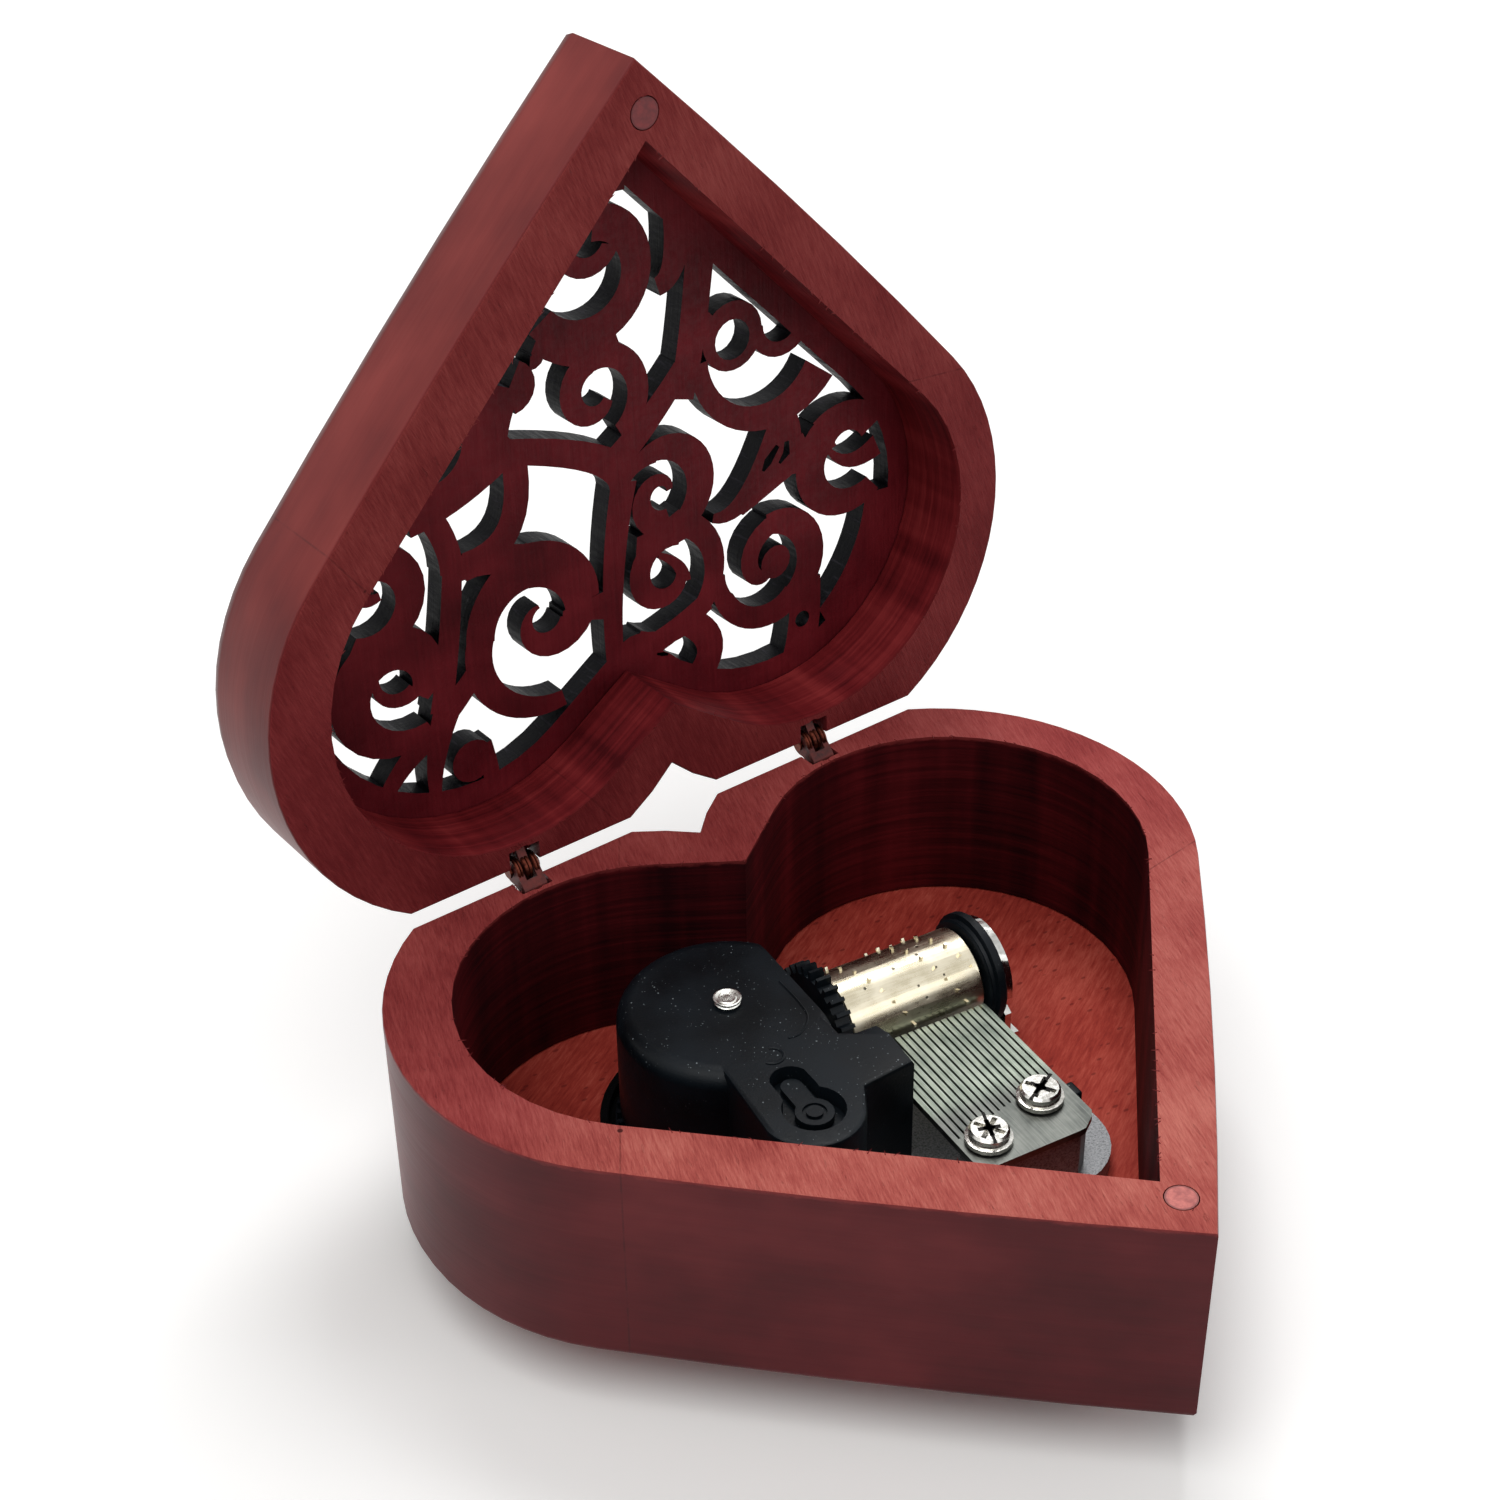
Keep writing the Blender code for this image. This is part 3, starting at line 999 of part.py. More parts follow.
# Cylinder with its pins, wheel, flange and shaft; heights run along the cylinder
cylinder_profile = [
    (SHAFT_RADIUS + 0.2, CYLINDER_END),
    (CYLINDER_RADIUS - 0.3, CYLINDER_END),
    (CYLINDER_RADIUS, CYLINDER_END - 0.3),
    (CYLINDER_RADIUS, CYLINDER_START + 0.3),
    (CYLINDER_RADIUS - 0.3, CYLINDER_START),
    (SHAFT_RADIUS + 0.2, CYLINDER_START),
]
cylinder = turned("cylinder", cylinder_profile, 32, cylinder_axis, NICKEL, ring=True)
PIN_ROWS = 3
bm = bmesh.new()
pin_length = PIN_HEIGHT + 0.6
for track in range(COMB_TEETH):
    along = COMB_LEFT + (track + 0.35) * COMB_PITCH
    for row in range(PIN_ROWS):
        around = math.radians((track * 137.5 + row * (360.0 / PIN_ROWS) + 23.0 * ((track + row) % 3)) % 360.0)
        pin = bmesh.ops.create_cube(bm, size=1.0)["verts"]
        bmesh.ops.scale(bm, verts=pin, vec=Vector((pin_length, PIN_SIZE, PIN_SIZE)) * MM)
        reach = CYLINDER_RADIUS + PIN_HEIGHT - 0.5 * pin_length
        bmesh.ops.translate(bm, verts=pin, vec=Vector((reach, 0.0, along)) * MM)
        for vert in pin:
            x, y = vert.co.x, vert.co.y
            vert.co.x = x * math.cos(around) - y * math.sin(around)
            vert.co.y = x * math.sin(around) + y * math.cos(around)
pins_mesh = bpy.data.meshes.new("cylinder_pins")
bm.to_mesh(pins_mesh)
bm.free()
cylinder_pins = settle(bpy.data.objects.new("cylinder_pins", pins_mesh), cylinder_axis, None)
join(cylinder, cylinder_pins)

gear_pitch = 0.5 * TRAIN_MODULE * CYLINDER_TEETH
gear_teeth = gear_outline(CYLINDER_TEETH, gear_pitch - DEDENDUM, gear_pitch + ADDENDUM, 0.36, 0.0)
gear_hole = circle(0.0, 0.0, SHAFT_RADIUS + 0.2, 20)
cylinder_gear = plate("cylinder_gear", [gear_teeth, gear_hole], GEAR_START, GEAR_END, cylinder_axis,
                      BLACK_PLASTIC)
flange_profile = [
    (SHAFT_RADIUS + 0.2, FLANGE_END),
    (FLANGE_RADIUS - 0.3, FLANGE_END),
    (FLANGE_RADIUS, FLANGE_END - 0.3),
    (FLANGE_RADIUS, FLANGE_START + 1.1),
    (FLANGE_RADIUS - 0.7, FLANGE_START + 0.9),
    (FLANGE_RADIUS - 0.9, FLANGE_START + 0.5),
    (FLANGE_RADIUS - 0.6, FLANGE_START + 0.2),
    (FLANGE_RADIUS - 0.9, FLANGE_START),
    (SHAFT_RADIUS + 0.2, FLANGE_START),
]
end_flange = turned("end_flange", flange_profile, 28, cylinder_axis, BLACK_PLASTIC, ring=True)
shaft_end = BRACKET_START + BRACKET_THICKNESS + 0.5
cylinder_shaft = rod("cylinder_shaft", SHAFT_RADIUS, 9.2, shaft_end, 20, cylinder_axis, SCREW_STEEL)

# Chromed bracket that carries the free end of the cylinder
bracket_base = BED_TOP + GAP - AXIS_H
bracket_outline = arc(0.0, 0.0, BRACKET_RADIUS, 0.0, 180.0, 18)
bracket_outline += [(-BRACKET_RADIUS, -1.2), (-5.9, -1.9), (-5.9, -3.2), (-BRACKET_RADIUS, -3.9)]
bracket_outline += [(-BRACKET_RADIUS, bracket_base), (BRACKET_RADIUS, bracket_base)]
bracket_outline += [(BRACKET_RADIUS, -3.9), (5.9, -3.2), (5.9, -1.9), (BRACKET_RADIUS, -1.2)]
bracket_hole = circle(0.0, 0.0, SHAFT_RADIUS + 0.05, 20)
bracket_end = BRACKET_START + BRACKET_THICKNESS
cylinder_bracket = plate("cylinder_bracket", [bracket_outline, bracket_hole], BRACKET_START, bracket_end,
                         movement, CHROME, (0.0, 0.0, AXIS_H))
stand(cylinder_bracket, (90.0, 0.0, 90.0))
bracket_foot = block("bracket_foot", (BRACKET_START + 0.3, -BRACKET_RADIUS, BED_TOP + GAP),
                     (BRACKET_START + BRACKET_FOOT, BRACKET_RADIUS, BED_TOP + GAP + BRACKET_THICKNESS), movement)
join(cylinder_bracket, bracket_foot)

# Idler: shaft, pinion on the crown wheel and wheel on the governor's worm
pinion_pitch = 0.5 * TRAIN_MODULE * PINION_TEETH
idler_shaft = rod("idler_shaft", IDLER_SHAFT_RADIUS, IDLER_START, IDLER_END - 0.2, 12, idler_axis, SCREW_STEEL)
pinion_teeth = gear_outline(PINION_TEETH, pinion_pitch - DEDENDUM, pinion_pitch + ADDENDUM, 0.36, 0.0)
pinion_hole = circle(0.0, 0.0, IDLER_SHAFT_RADIUS + SMALL_GAP, 12)
pinion_low = PINION_REACH - 0.5 * PINION_WIDTH
idler_pinion = plate("idler_pinion", [pinion_teeth, pinion_hole], pinion_low, pinion_low + PINION_WIDTH,
                     idler_axis, BLACK_PLASTIC)
worm_wheel_low = WORM_WHEEL_REACH - 0.5 * WORM_WHEEL_WIDTH
wheel_teeth = gear_outline(WORM_WHEEL_TEETH, WORM_WHEEL_RADIUS - 0.3, WORM_WHEEL_RADIUS + 0.2, 0.24, 90.0)
worm_wheel = plate("worm_wheel", [wheel_teeth, pinion_hole], worm_wheel_low,
                   worm_wheel_low + WORM_WHEEL_WIDTH, idler_axis, BLACK_PLASTIC)

# Governor: worm shaft and the fan that brakes it
worm_lead = math.tau * WORM_WHEEL_RADIUS / WORM_WHEEL_TEETH
helix = bpy.data.curves.new("worm_thread", "CURVE")
helix.dimensions = "3D"
helix.bevel_depth = WORM_THREAD * MM
helix.bevel_resolution = 0
helix.use_fill_caps = True
thread = helix.splines.new("POLY")
helix_steps = 10 * WORM_TURNS
thread.points.add(helix_steps)
mesh_angle = math.radians(IDLER_ANGLE + 90.0)
start_turn = -0.5 * WORM_TURNS
for i in range(helix_steps + 1):
    turn = start_turn + WORM_TURNS * i / helix_steps
    angle = mesh_angle + math.tau * turn
    height = IDLER_H + (turn + 0.5) * worm_lead
    thread.points[i].co = (WORM_HELIX * math.cos(angle) * MM, WORM_HELIX * math.sin(angle) * MM, height * MM, 1.0)
helix_object = bpy.data.objects.new("worm_thread_line", helix)
MAIN.objects.link(helix_object)
bpy.context.view_layer.update()
helix_graph = bpy.context.evaluated_depsgraph_get()
thread_mesh = bpy.data.meshes.new_from_object(helix_object.evaluated_get(helix_graph))
bpy.data.objects.remove(helix_object, do_unlink=True)
bm = bmesh.new()
bm.from_mesh(thread_mesh)
bmesh.ops.remove_doubles(bm, verts=bm.verts, dist=1e-7)
bmesh.ops.recalc_face_normals(bm, faces=bm.faces)
bm.to_mesh(thread_mesh)
bm.free()
worm_thread = settle(bpy.data.objects.new("worm_thread", thread_mesh), governor_axis, None)
worm_half = 0.5 * WORM_TURNS * worm_lead + 0.8
governor_profile = [
    (0.0, lever_low - GAP - 0.2),
    (GOVERNOR_SHAFT_RADIUS, lever_low - GAP - 0.2),
    (GOVERNOR_SHAFT_RADIUS, IDLER_H + worm_half + 0.3),
    (WORM_CORE, IDLER_H + worm_half),
    (WORM_CORE, IDLER_H - worm_half),
    (GOVERNOR_SHAFT_RADIUS, IDLER_H - worm_half - 0.3),
    (GOVERNOR_SHAFT_RADIUS, 1.0),
    (0.0, 1.0),
]
governor_worm = turned("governor_worm", governor_profile, 12, governor_axis, BLACK_PLASTIC)
join(governor_worm, worm_thread)
fan_hub = circle(0.0, 0.0, GOVERNOR_SHAFT_RADIUS + SMALL_GAP, 16)
fan_outline = [(-FAN_REACH, -0.5 * FAN_THICKNESS), (-1.2, -0.5 * FAN_THICKNESS)]
fan_outline += [(-0.8, -1.1), (0.8, -1.1), (1.2, -0.5 * FAN_THICKNESS), (FAN_REACH, -0.5 * FAN_THICKNESS)]
fan_outline += [(FAN_REACH, 0.5 * FAN_THICKNESS), (1.2, 0.5 * FAN_THICKNESS), (0.8, 1.1), (-0.8, 1.1)]
fan_outline += [(-1.2, 0.5 * FAN_THICKNESS), (-FAN_REACH, 0.5 * FAN_THICKNESS)]
governor_fan = plate("governor_fan", [fan_outline, fan_hub], FAN_LOW, FAN_HIGH, governor_axis, BLACK_PLASTIC)

bpy.context.view_layer.update()
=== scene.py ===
# %% [markdown]
# A heart-shaped wooden music box with its lid open, dressed for a studio picture.
# The solids come ready made from the CAD frame. This notebook gives them smooth shading, stained
# wood, moulded plastic and metal finishes, adds the small parts that the CAD leaves out, and sets
# up a white table, soft lamps and the camera.

# %% Frame
import json
import math
import random

import bmesh
import bpy
from mathutils import Matrix, Vector

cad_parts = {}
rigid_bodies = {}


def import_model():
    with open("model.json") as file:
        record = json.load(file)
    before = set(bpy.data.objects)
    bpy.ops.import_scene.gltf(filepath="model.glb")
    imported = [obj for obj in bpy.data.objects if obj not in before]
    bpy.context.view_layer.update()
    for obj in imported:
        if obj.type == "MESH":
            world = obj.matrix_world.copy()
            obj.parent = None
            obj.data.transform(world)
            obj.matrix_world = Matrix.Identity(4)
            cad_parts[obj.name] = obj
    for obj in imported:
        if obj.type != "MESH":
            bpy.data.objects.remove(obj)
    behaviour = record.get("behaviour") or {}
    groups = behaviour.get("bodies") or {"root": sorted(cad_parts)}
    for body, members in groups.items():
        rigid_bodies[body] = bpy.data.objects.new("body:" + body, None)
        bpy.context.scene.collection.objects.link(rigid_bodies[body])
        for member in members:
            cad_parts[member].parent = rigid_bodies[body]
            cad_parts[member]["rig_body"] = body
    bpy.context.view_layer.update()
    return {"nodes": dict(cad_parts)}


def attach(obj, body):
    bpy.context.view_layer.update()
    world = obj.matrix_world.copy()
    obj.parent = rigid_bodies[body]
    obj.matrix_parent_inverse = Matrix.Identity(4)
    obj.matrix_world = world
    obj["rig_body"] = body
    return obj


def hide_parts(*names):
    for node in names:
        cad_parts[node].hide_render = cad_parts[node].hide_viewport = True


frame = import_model()
MM = 0.001

# %% [markdown]
# Sizes that several steps need, taken from the solids. Each could be measured from a mesh, but a
# written number is easier to read and to change. The wood takes its colours by where a point lies
# on the heart. The lid stands open, so its points are first turned back onto the closed box about
# the hinge pins, and both halves then share one set of rules.

# %% Sizes of the box
CASE_RIM_Z = 40.7 * MM
LID_RIM_Z = 41.0 * MM
LID_TOP_Z = 57.2 * MM
HEART_MIDDLE_Y = -1.95 * MM
BACK_FLATS_Y = 43.05 * MM
HINGE_POINT = Vector((0.0, 43.9 * MM, 42.0 * MM))
CLOSING_TURN = math.radians(91.6)
print("the lid closes by", round(math.degrees(CLOSING_TURN), 1), "degrees")

# %% [markdown]
# The movement stands a little askew on the floor board. Its small parts are easier to place along
# its own sides, so this helper takes millimetres from the arbor's foot, u along the cylinder and
# v across it, and gives the place in the frame. An empty as a parent could do the same, but the
# export wants every finished piece at the origin.

# %% Places on the movement
FLOOR_BOARD_Z = 13.2 * MM
MOVEMENT_TURN = math.radians(7.8)
ARBOR = Vector((-15.2 * MM, BACK_FLATS_Y - 32.4 * MM, 0.0))


def on_movement(u, v, height):
    """A point given in the movement's own millimetres, as a place in the frame."""
    cos, sin = math.cos(MOVEMENT_TURN), math.sin(MOVEMENT_TURN)
    return Vector((
        ARBOR.x + (u * cos + v * sin) * MM,
        ARBOR.y + (-u * sin + v * cos) * MM,
        FLOOR_BOARD_Z + height * MM,
    ))


print("cylinder middle:", on_movement(25.9, 0, 12))

# %% [markdown]
# Every finish is a small tree of shader nodes. These helpers add one node each: a link is made
# where a value is another node's output, and a number is typed into the socket where it isn't.
# The trees could be drawn by hand in the editor, but as calls they stay short and can be reused.

# %% Node helpers: numbers
def feed(tree, socket, value):
    if isinstance(value, bpy.types.NodeSocket):
        tree.links.new(value, socket)
    else:
        socket.default_value = value


def maths(tree, kind, first, second=0.0):
    node = tree.nodes.new("ShaderNodeMath")
    node.operation = kind
    feed(tree, node.inputs[0], first)
    feed(tree, node.inputs[1], second)
    return node.outputs[0]


def plus(tree, first, second):
    return maths(tree, "ADD", first, second)


def minus(tree, first, second):
    return maths(tree, "SUBTRACT", first, second)


def times(tree, first, second):
    return maths(tree, "MULTIPLY", first, second)


print("number helpers ready")

# %% [markdown]
# Two helpers do most of the work. A pattern is seldom one noise alone: blend adds several, each
# with its share. And a mask is a soft step: fade gives one with Map Range, which a sharp
# comparison could do as well, but with jagged edges.

# %% Node helpers: sums and steps
def blend(tree, *parts):
    """A weighted sum: each part is (value, share)."""
    terms = [times(tree, value, share) for value, share in parts]
    total = terms.pop()
    while terms:
        total = plus(tree, terms.pop(), total)
    return total


def fade(tree, value, start, end, low=0.0, high=1.0):
    """low up to start, high from end on, and a soft step between them.

    Where start is the larger number, the step runs the other way."""
    node = tree.nodes.new("ShaderNodeMapRange")
    node.interpolation_type = "SMOOTHSTEP"
    feed(tree, node.inputs["Value"], value)
    if start < end:
        settings = (start, end, low, high)
    else:
        settings = (end, start, high, low)
    for socket, number in zip(node.inputs[1:5], settings):
        socket.default_value = number
    return node.outputs[0]


print("sums and steps ready")

# %% [markdown]
# Colours are written as they look on a screen, 0 to 255, and turned into the linear light that
# Blender mixes. A ramp gives a wood or a metal its range of tones along a noise.

# %% Node helpers: colours
def linear(red, green, blue):
    def one(part):
        part = part / 255
        return part / 12.92 if part <= 0.04045 else ((part + 0.055) / 1.055) ** 2.4
    return (one(red), one(green), one(blue), 1.0)


def mix_colours(tree, share, under, over):
    node = tree.nodes.new("ShaderNodeMix")
    node.data_type = "RGBA"
    feed(tree, node.inputs[0], share)
    feed(tree, node.inputs[6], under)
    feed(tree, node.inputs[7], over)
    return node.outputs[2]


def tones(tree, value, *stops):
    """Colours along a value: each stop is (place, (red, green, blue))."""
    node = tree.nodes.new("ShaderNodeValToRGB")
    ramp = node.color_ramp
    while len(ramp.elements) < len(stops):
        ramp.elements.new(0.5)
    for element, (place, colour) in zip(ramp.elements, stops):
        element.position = place
        element.color = linear(*colour)
    feed(tree, node.inputs[0], value)
    return node.outputs[0]


print("white in linear light:", linear(255, 255, 255))

# %% [markdown]
# Patterns come from where a point lies on the piece: its Object coordinates, in metres. Noise
# that is drawn out along one axis looks like grain, brush marks or scratches. An image texture
# would need seams and a size; noise has neither, and stays sharp in a close view.

# %% Node helpers: patterns
def turned(tree, vector, kind, turn=(0, 0, 0), stretch=(1, 1, 1), shift=(0, 0, 0)):
    node = tree.nodes.new("ShaderNodeMapping")
    node.vector_type = kind
    feed(tree, node.inputs["Vector"], vector)
    node.inputs["Rotation"].default_value = turn
    node.inputs["Scale"].default_value = stretch
    if kind in ("POINT", "TEXTURE"):
        node.inputs["Location"].default_value = shift
    return node.outputs[0]


def clouds(tree, place, size, stretch=(1, 1, 1), turn=(0, 0, 0), detail=4.0, rough=0.55):
    """Noise with marks about size metres across, drawn out along an axis by stretch."""
    node = tree.nodes.new("ShaderNodeTexNoise")
    node.inputs["Scale"].default_value = 1.0 / size
    node.inputs["Detail"].default_value = detail
    node.inputs["Roughness"].default_value = rough
    feed(tree, node.inputs["Vector"], turned(tree, place, "TEXTURE", turn, stretch))
    return node.outputs[0]


def specks(tree, place, spacing, radius):
    """1 on small round specks spaced about that far apart, 0 elsewhere."""
    node = tree.nodes.new("ShaderNodeTexVoronoi")
    node.inputs["Scale"].default_value = 1.0 / spacing
    feed(tree, node.inputs["Vector"], place)
    return fade(tree, node.outputs["Distance"], radius / spacing, 0.6 * radius / spacing)


def split(tree, vector):
    node = tree.nodes.new("ShaderNodeSeparateXYZ")
    feed(tree, node.inputs[0], vector)
    return node.outputs


def distance(tree, place, point):
    """How far a place is from one fixed point."""
    node = tree.nodes.new("ShaderNodeVectorMath")
    node.operation = "DISTANCE"
    feed(tree, node.inputs[0], place)
    node.inputs[1].default_value = point
    return node.outputs["Value"]


print("pattern helpers ready")

# %% [markdown]
# A finish starts as a new material. What is the same all over goes onto the shader's own sockets,
# and what varies is linked to them. Small bumps need no geometry: the Bump node bends the light.

# %% Node helpers: a new finish
def relief(tree, shader, height, depth, strength=1.0):
    """Height (0 to 1) as small bumps, depth in metres."""
    node = tree.nodes.new("ShaderNodeBump")
    node.inputs["Strength"].default_value = strength
    node.inputs["Distance"].default_value = depth
    feed(tree, node.inputs["Height"], height)
    tree.links.new(node.outputs[0], shader.inputs["Normal"])


def new_finish(name, **sockets):
    """A material, its tree and shader, and where a point lies and faces."""
    material = bpy.data.materials.new(name)
    material.use_nodes = True
    tree = material.node_tree
    shader = tree.nodes["Principled BSDF"]
    for label, number in sockets.items():
        shader.inputs[label.replace("_", " ")].default_value = number
    spot = tree.nodes.new("ShaderNodeTexCoord")
    return material, tree, shader, spot.outputs["Object"], spot.outputs["Normal"]


print("helpers ready")

# %% [markdown]
# Stained wood. The box was sawn and routed from a heart of solid wood, stained red-brown and
# rubbed down. So the rim is paler, with slanting saw scratches; the outer wall is darker and half
# glossy with fine level grain; the routed pocket is deep maroon with upright cutter bands.
# Each face could have a material of its own, but they meet on one solid. So one material carries
# all three, and masks made from the height and from the way a point faces choose between them.

# %% Masks on the wood
LEVEL_FACING = (0.55, 0.8)
RIM_BAND = (0.9 * MM, 0.6 * MM)
INSIDE_BAND = (2 * MM, -2 * MM)


def closed_place(tree, place, facing, opened):
    """The point and its facing as they are on the closed box."""
    if not opened:
        return place, facing
    turn = Matrix.Rotation(CLOSING_TURN, 3, "X")
    shift = HINGE_POINT - turn @ HINGE_POINT
    angles = (CLOSING_TURN, 0, 0)
    return (turned(tree, place, "POINT", angles, shift=shift),
            turned(tree, facing, "VECTOR", angles))


def wood_masks(tree, place, facing, rim_z):
    """Level faces, distance from the rim's height, the sawn rim and the routed pocket."""
    x, y, z = split(tree, place)
    nx, ny, nz = split(tree, facing)
    level = fade(tree, maths(tree, "ABSOLUTE", nz), *LEVEL_FACING)
    from_rim = maths(tree, "ABSOLUTE", minus(tree, z, rim_z))
    rim = times(tree, level, fade(tree, from_rim, *RIM_BAND))
    outward = blend(tree, (nx, x), (ny, minus(tree, y, HEART_MIDDLE_Y)))
    inside = fade(tree, outward, *INSIDE_BAND)
    return level, from_rim, rim, inside


print("rim heights:", CASE_RIM_Z, LID_RIM_Z)

# %% [markdown]
# The outer wall was sanded, so only a fine level grain shows, under broad patches where the stain
# took more or less. Painted shade darkens it towards the foot of the case, and on the lid towards
# the lobes by the hinge, the lowest part of the open lid. The pocket keeps the router's upright
# bands. Both are noises drawn out along the right axis.

# %% Outer wall and routed pocket
WALL_STOPS, POCKET_STOPS = (0.28, 0.5, 0.74), (0.36, 0.5, 0.66)
# where each fade starts and ends, and how much painted shade it lays on the stain
PAINTED_SHADE_LID_LOBES = (-12 * MM, 18 * MM, 0.0, 0.16)
PAINTED_SHADE_CASE_FOOT = (34 * MM, 12 * MM, 0.0, 0.09)


def outer_wall(tree, place, opened, shades):
    _, y, z = split(tree, place)
    grain = clouds(tree, place, 0.9 * MM, stretch=(40, 40, 1), detail=5)
    cloudy = clouds(tree, place, 22 * MM, stretch=(1, 1, 0.6), detail=3)
    shade = blend(tree, (grain, 0.16), (cloudy, 0.84))
    # painted shade: darker towards the case's foot and the lid's lobes by the hinge
    painted_shade = fade(tree, y, *PAINTED_SHADE_LID_LOBES) if opened else fade(tree, z, *PAINTED_SHADE_CASE_FOOT)
    return tones(tree, minus(tree, shade, painted_shade), *zip(WALL_STOPS, shades))


def routed_pocket(tree, place, streaks, shades):
    bands = clouds(tree, place, 7 * MM, stretch=(1, 1, 12), detail=3)
    shade = blend(tree, (bands, 0.6), (streaks, 0.4))
    return tones(tree, shade, *zip(POCKET_STOPS, shades))


print("wall and pocket ready")

# %% [markdown]
# The rim is end and side grain, sawn on a slant and barely sanded. Two sets of long thin noise at
# nearly the same slant cross each other as saw marks do. Towards the front, past the glue joints,
# the wood is paler, partly in its own tone and partly by painted light, so a second ramp is mixed
# in there. Painted light also makes the rim paler towards the right.

# %% Sawn rim
GLUE_JOINT_Y = -8.5 * MM
SAW_SLANT = (0, 0, math.radians(71))
CROSSING_SLANT = (0, 0, math.radians(62))
RIM_STOPS = (0.30, 0.46, 0.56, 0.72)
# painted light: the rim grows paler towards the right
PAINTED_LIGHT_RIGHT = (-25 * MM, 25 * MM, 0.0, 0.09)
# the paler front: partly the wood's own tone, partly painted light
PALE_AND_LIT_FRONT_REGION = (GLUE_JOINT_Y + 16 * MM, GLUE_JOINT_Y - 5 * MM)
LESS_ON_RIGHT = (0.0, 40 * MM, 1.0, 0.45)
PALE_AND_LIT_FRONT_TONES = ((0.34, (140, 52, 50)), (0.5, (188, 96, 87)), (0.64, (216, 130, 116)))


def saw_marks(tree, place):
    scratches = clouds(tree, place, 0.34 * MM, (11, 1, 1), SAW_SLANT, detail=4, rough=0.7)
    fine = clouds(tree, place, 0.15 * MM, (14, 1, 1), CROSSING_SLANT, detail=3, rough=0.7)
    return scratches, fine


def sawn_rim(tree, place, scratches, fine, shades, pale_and_lit_front_share):
    x, y, _ = split(tree, place)
    patches_and_lit_right = plus(tree, clouds(tree, place, 13 * MM, detail=4),
                   fade(tree, x, *PAINTED_LIGHT_RIGHT))
    shade = blend(tree, (scratches, 0.36), (fine, 0.22), (patches_and_lit_right, 0.42))
    sawn = tones(tree, shade, *zip(RIM_STOPS, shades))
    # the paler front mixed in: its own tone and painted light together
    front = times(tree, fade(tree, y, *PALE_AND_LIT_FRONT_REGION), fade(tree, x, *LESS_ON_RIGHT))
    return mix_colours(tree, times(tree, front, pale_and_lit_front_share), sawn,
                       tones(tree, shade, *PALE_AND_LIT_FRONT_TONES))


print("rim ready")

# %% [markdown]
# The heart is glued up from pieces. A glue joint is a hairline across the rim and down the wall,
# broken here and there, and the left one ends in two dark dots. A cut that fine in the mesh would
# need rows of thin faces, so the line is drawn: it is dark where the distance from the joint's
# plane is small.

# %% Glue joints
# side of the heart, a point on the joint, the direction across it
GLUE_JOINTS = (
    (-1, (-45.8 * MM, -9.2 * MM), (0.82, -0.57)),
    (1, (48.6 * MM, -7.1 * MM), (0.09, -1.0)),
)
JOINT_DOTS = ((-48.0 * MM, -12.4 * MM, 40.6 * MM), (-43.6 * MM, -6.0 * MM, 40.7 * MM))

LINE_WIDTH, DOT_WIDTH = (0.16 * MM, 0.06 * MM), (0.45 * MM, 0.25 * MM)
BREAKS = (0.34, 0.56, 0.1, 0.45)


def glue_joints(tree, place):
    x, y, _ = split(tree, place)
    joint = 0.0
    for side, (at_x, at_y), (across_x, across_y) in GLUE_JOINTS:
        away = blend(tree, (minus(tree, x, at_x), across_x), (minus(tree, y, at_y), across_y))
        line = fade(tree, maths(tree, "ABSOLUTE", away), *LINE_WIDTH)
        on_side = fade(tree, times(tree, x, side), 0.0, 20 * MM)
        joint = plus(tree, joint, times(tree, line, on_side))
    broken = fade(tree, clouds(tree, place, 1.6 * MM, detail=3), *BREAKS)
    joint = times(tree, joint, broken)
    for dot in JOINT_DOTS:
        near = fade(tree, distance(tree, place, dot), *DOT_WIDTH)
        joint = maths(tree, "MAXIMUM", joint, near)
    return joint


print("glue joints:", len(GLUE_JOINTS))

# %% [markdown]
# The rubbed outer wall is half glossy and nearly smooth. The sawn and routed faces are dull and
# rougher, with open pores on the level ones. So gloss and bumps follow the same masks.

# %% Gloss and relief of the wood
# each from the rubbed wall to the sawn or routed faces
ROUGHNESS, SPECULAR, GRAIN_HEIGHT = (0.38, 0.62), (0.17, 0.07), (0.07, 0.28)
PORES = (0.68, 0.74)


def wood_surface(tree, shader, place, masks, streaks, scratches, fine):
    level, _, rim, inside = masks
    fibre = clouds(tree, place, 0.28 * MM, stretch=(60, 60, 1), detail=2)
    dull = maths(tree, "MAXIMUM", rim, inside)
    shine = plus(tree, fade(tree, dull, 0, 1, *ROUGHNESS),
                 times(tree, minus(tree, fibre, 0.5), 0.12))
    tree.links.new(shine, shader.inputs["Roughness"])
    tree.links.new(fade(tree, dull, 0, 1, *SPECULAR), shader.inputs["Specular IOR Level"])
    saw = times(tree, plus(tree, scratches, fine), rim)
    raised_grain = times(tree, plus(tree, fibre, streaks), fade(tree, dull, 0, 1, *GRAIN_HEIGHT))
    pores = clouds(tree, place, 0.5 * MM, stretch=(5, 1, 1), turn=SAW_SLANT, detail=2)
    pores = times(tree, fade(tree, pores, *PORES), level)
    height = minus(tree, plus(tree, saw, raised_grain), pores)
    relief(tree, shader, height, 0.2 * MM, 0.8)


print("surface ready")

# %% [markdown]
# Now the faces are put together. Where the wall meets the rim the stain was rubbed away in a
# ragged line, and round the lid's top edge it gathered, so both get their own share.

# %% Stained wood
GATHERED_STAIN = linear(44, 8, 12)
GLUE_LINE = linear(40, 10, 13)
LID_TOP_EDGE = (LID_TOP_Z - 3.6 * MM, LID_TOP_Z - 1.4 * MM)
RAGGED_REACH, NEAR_RIM = 1.6 * MM, (1.5 * MM, 0.9 * MM)


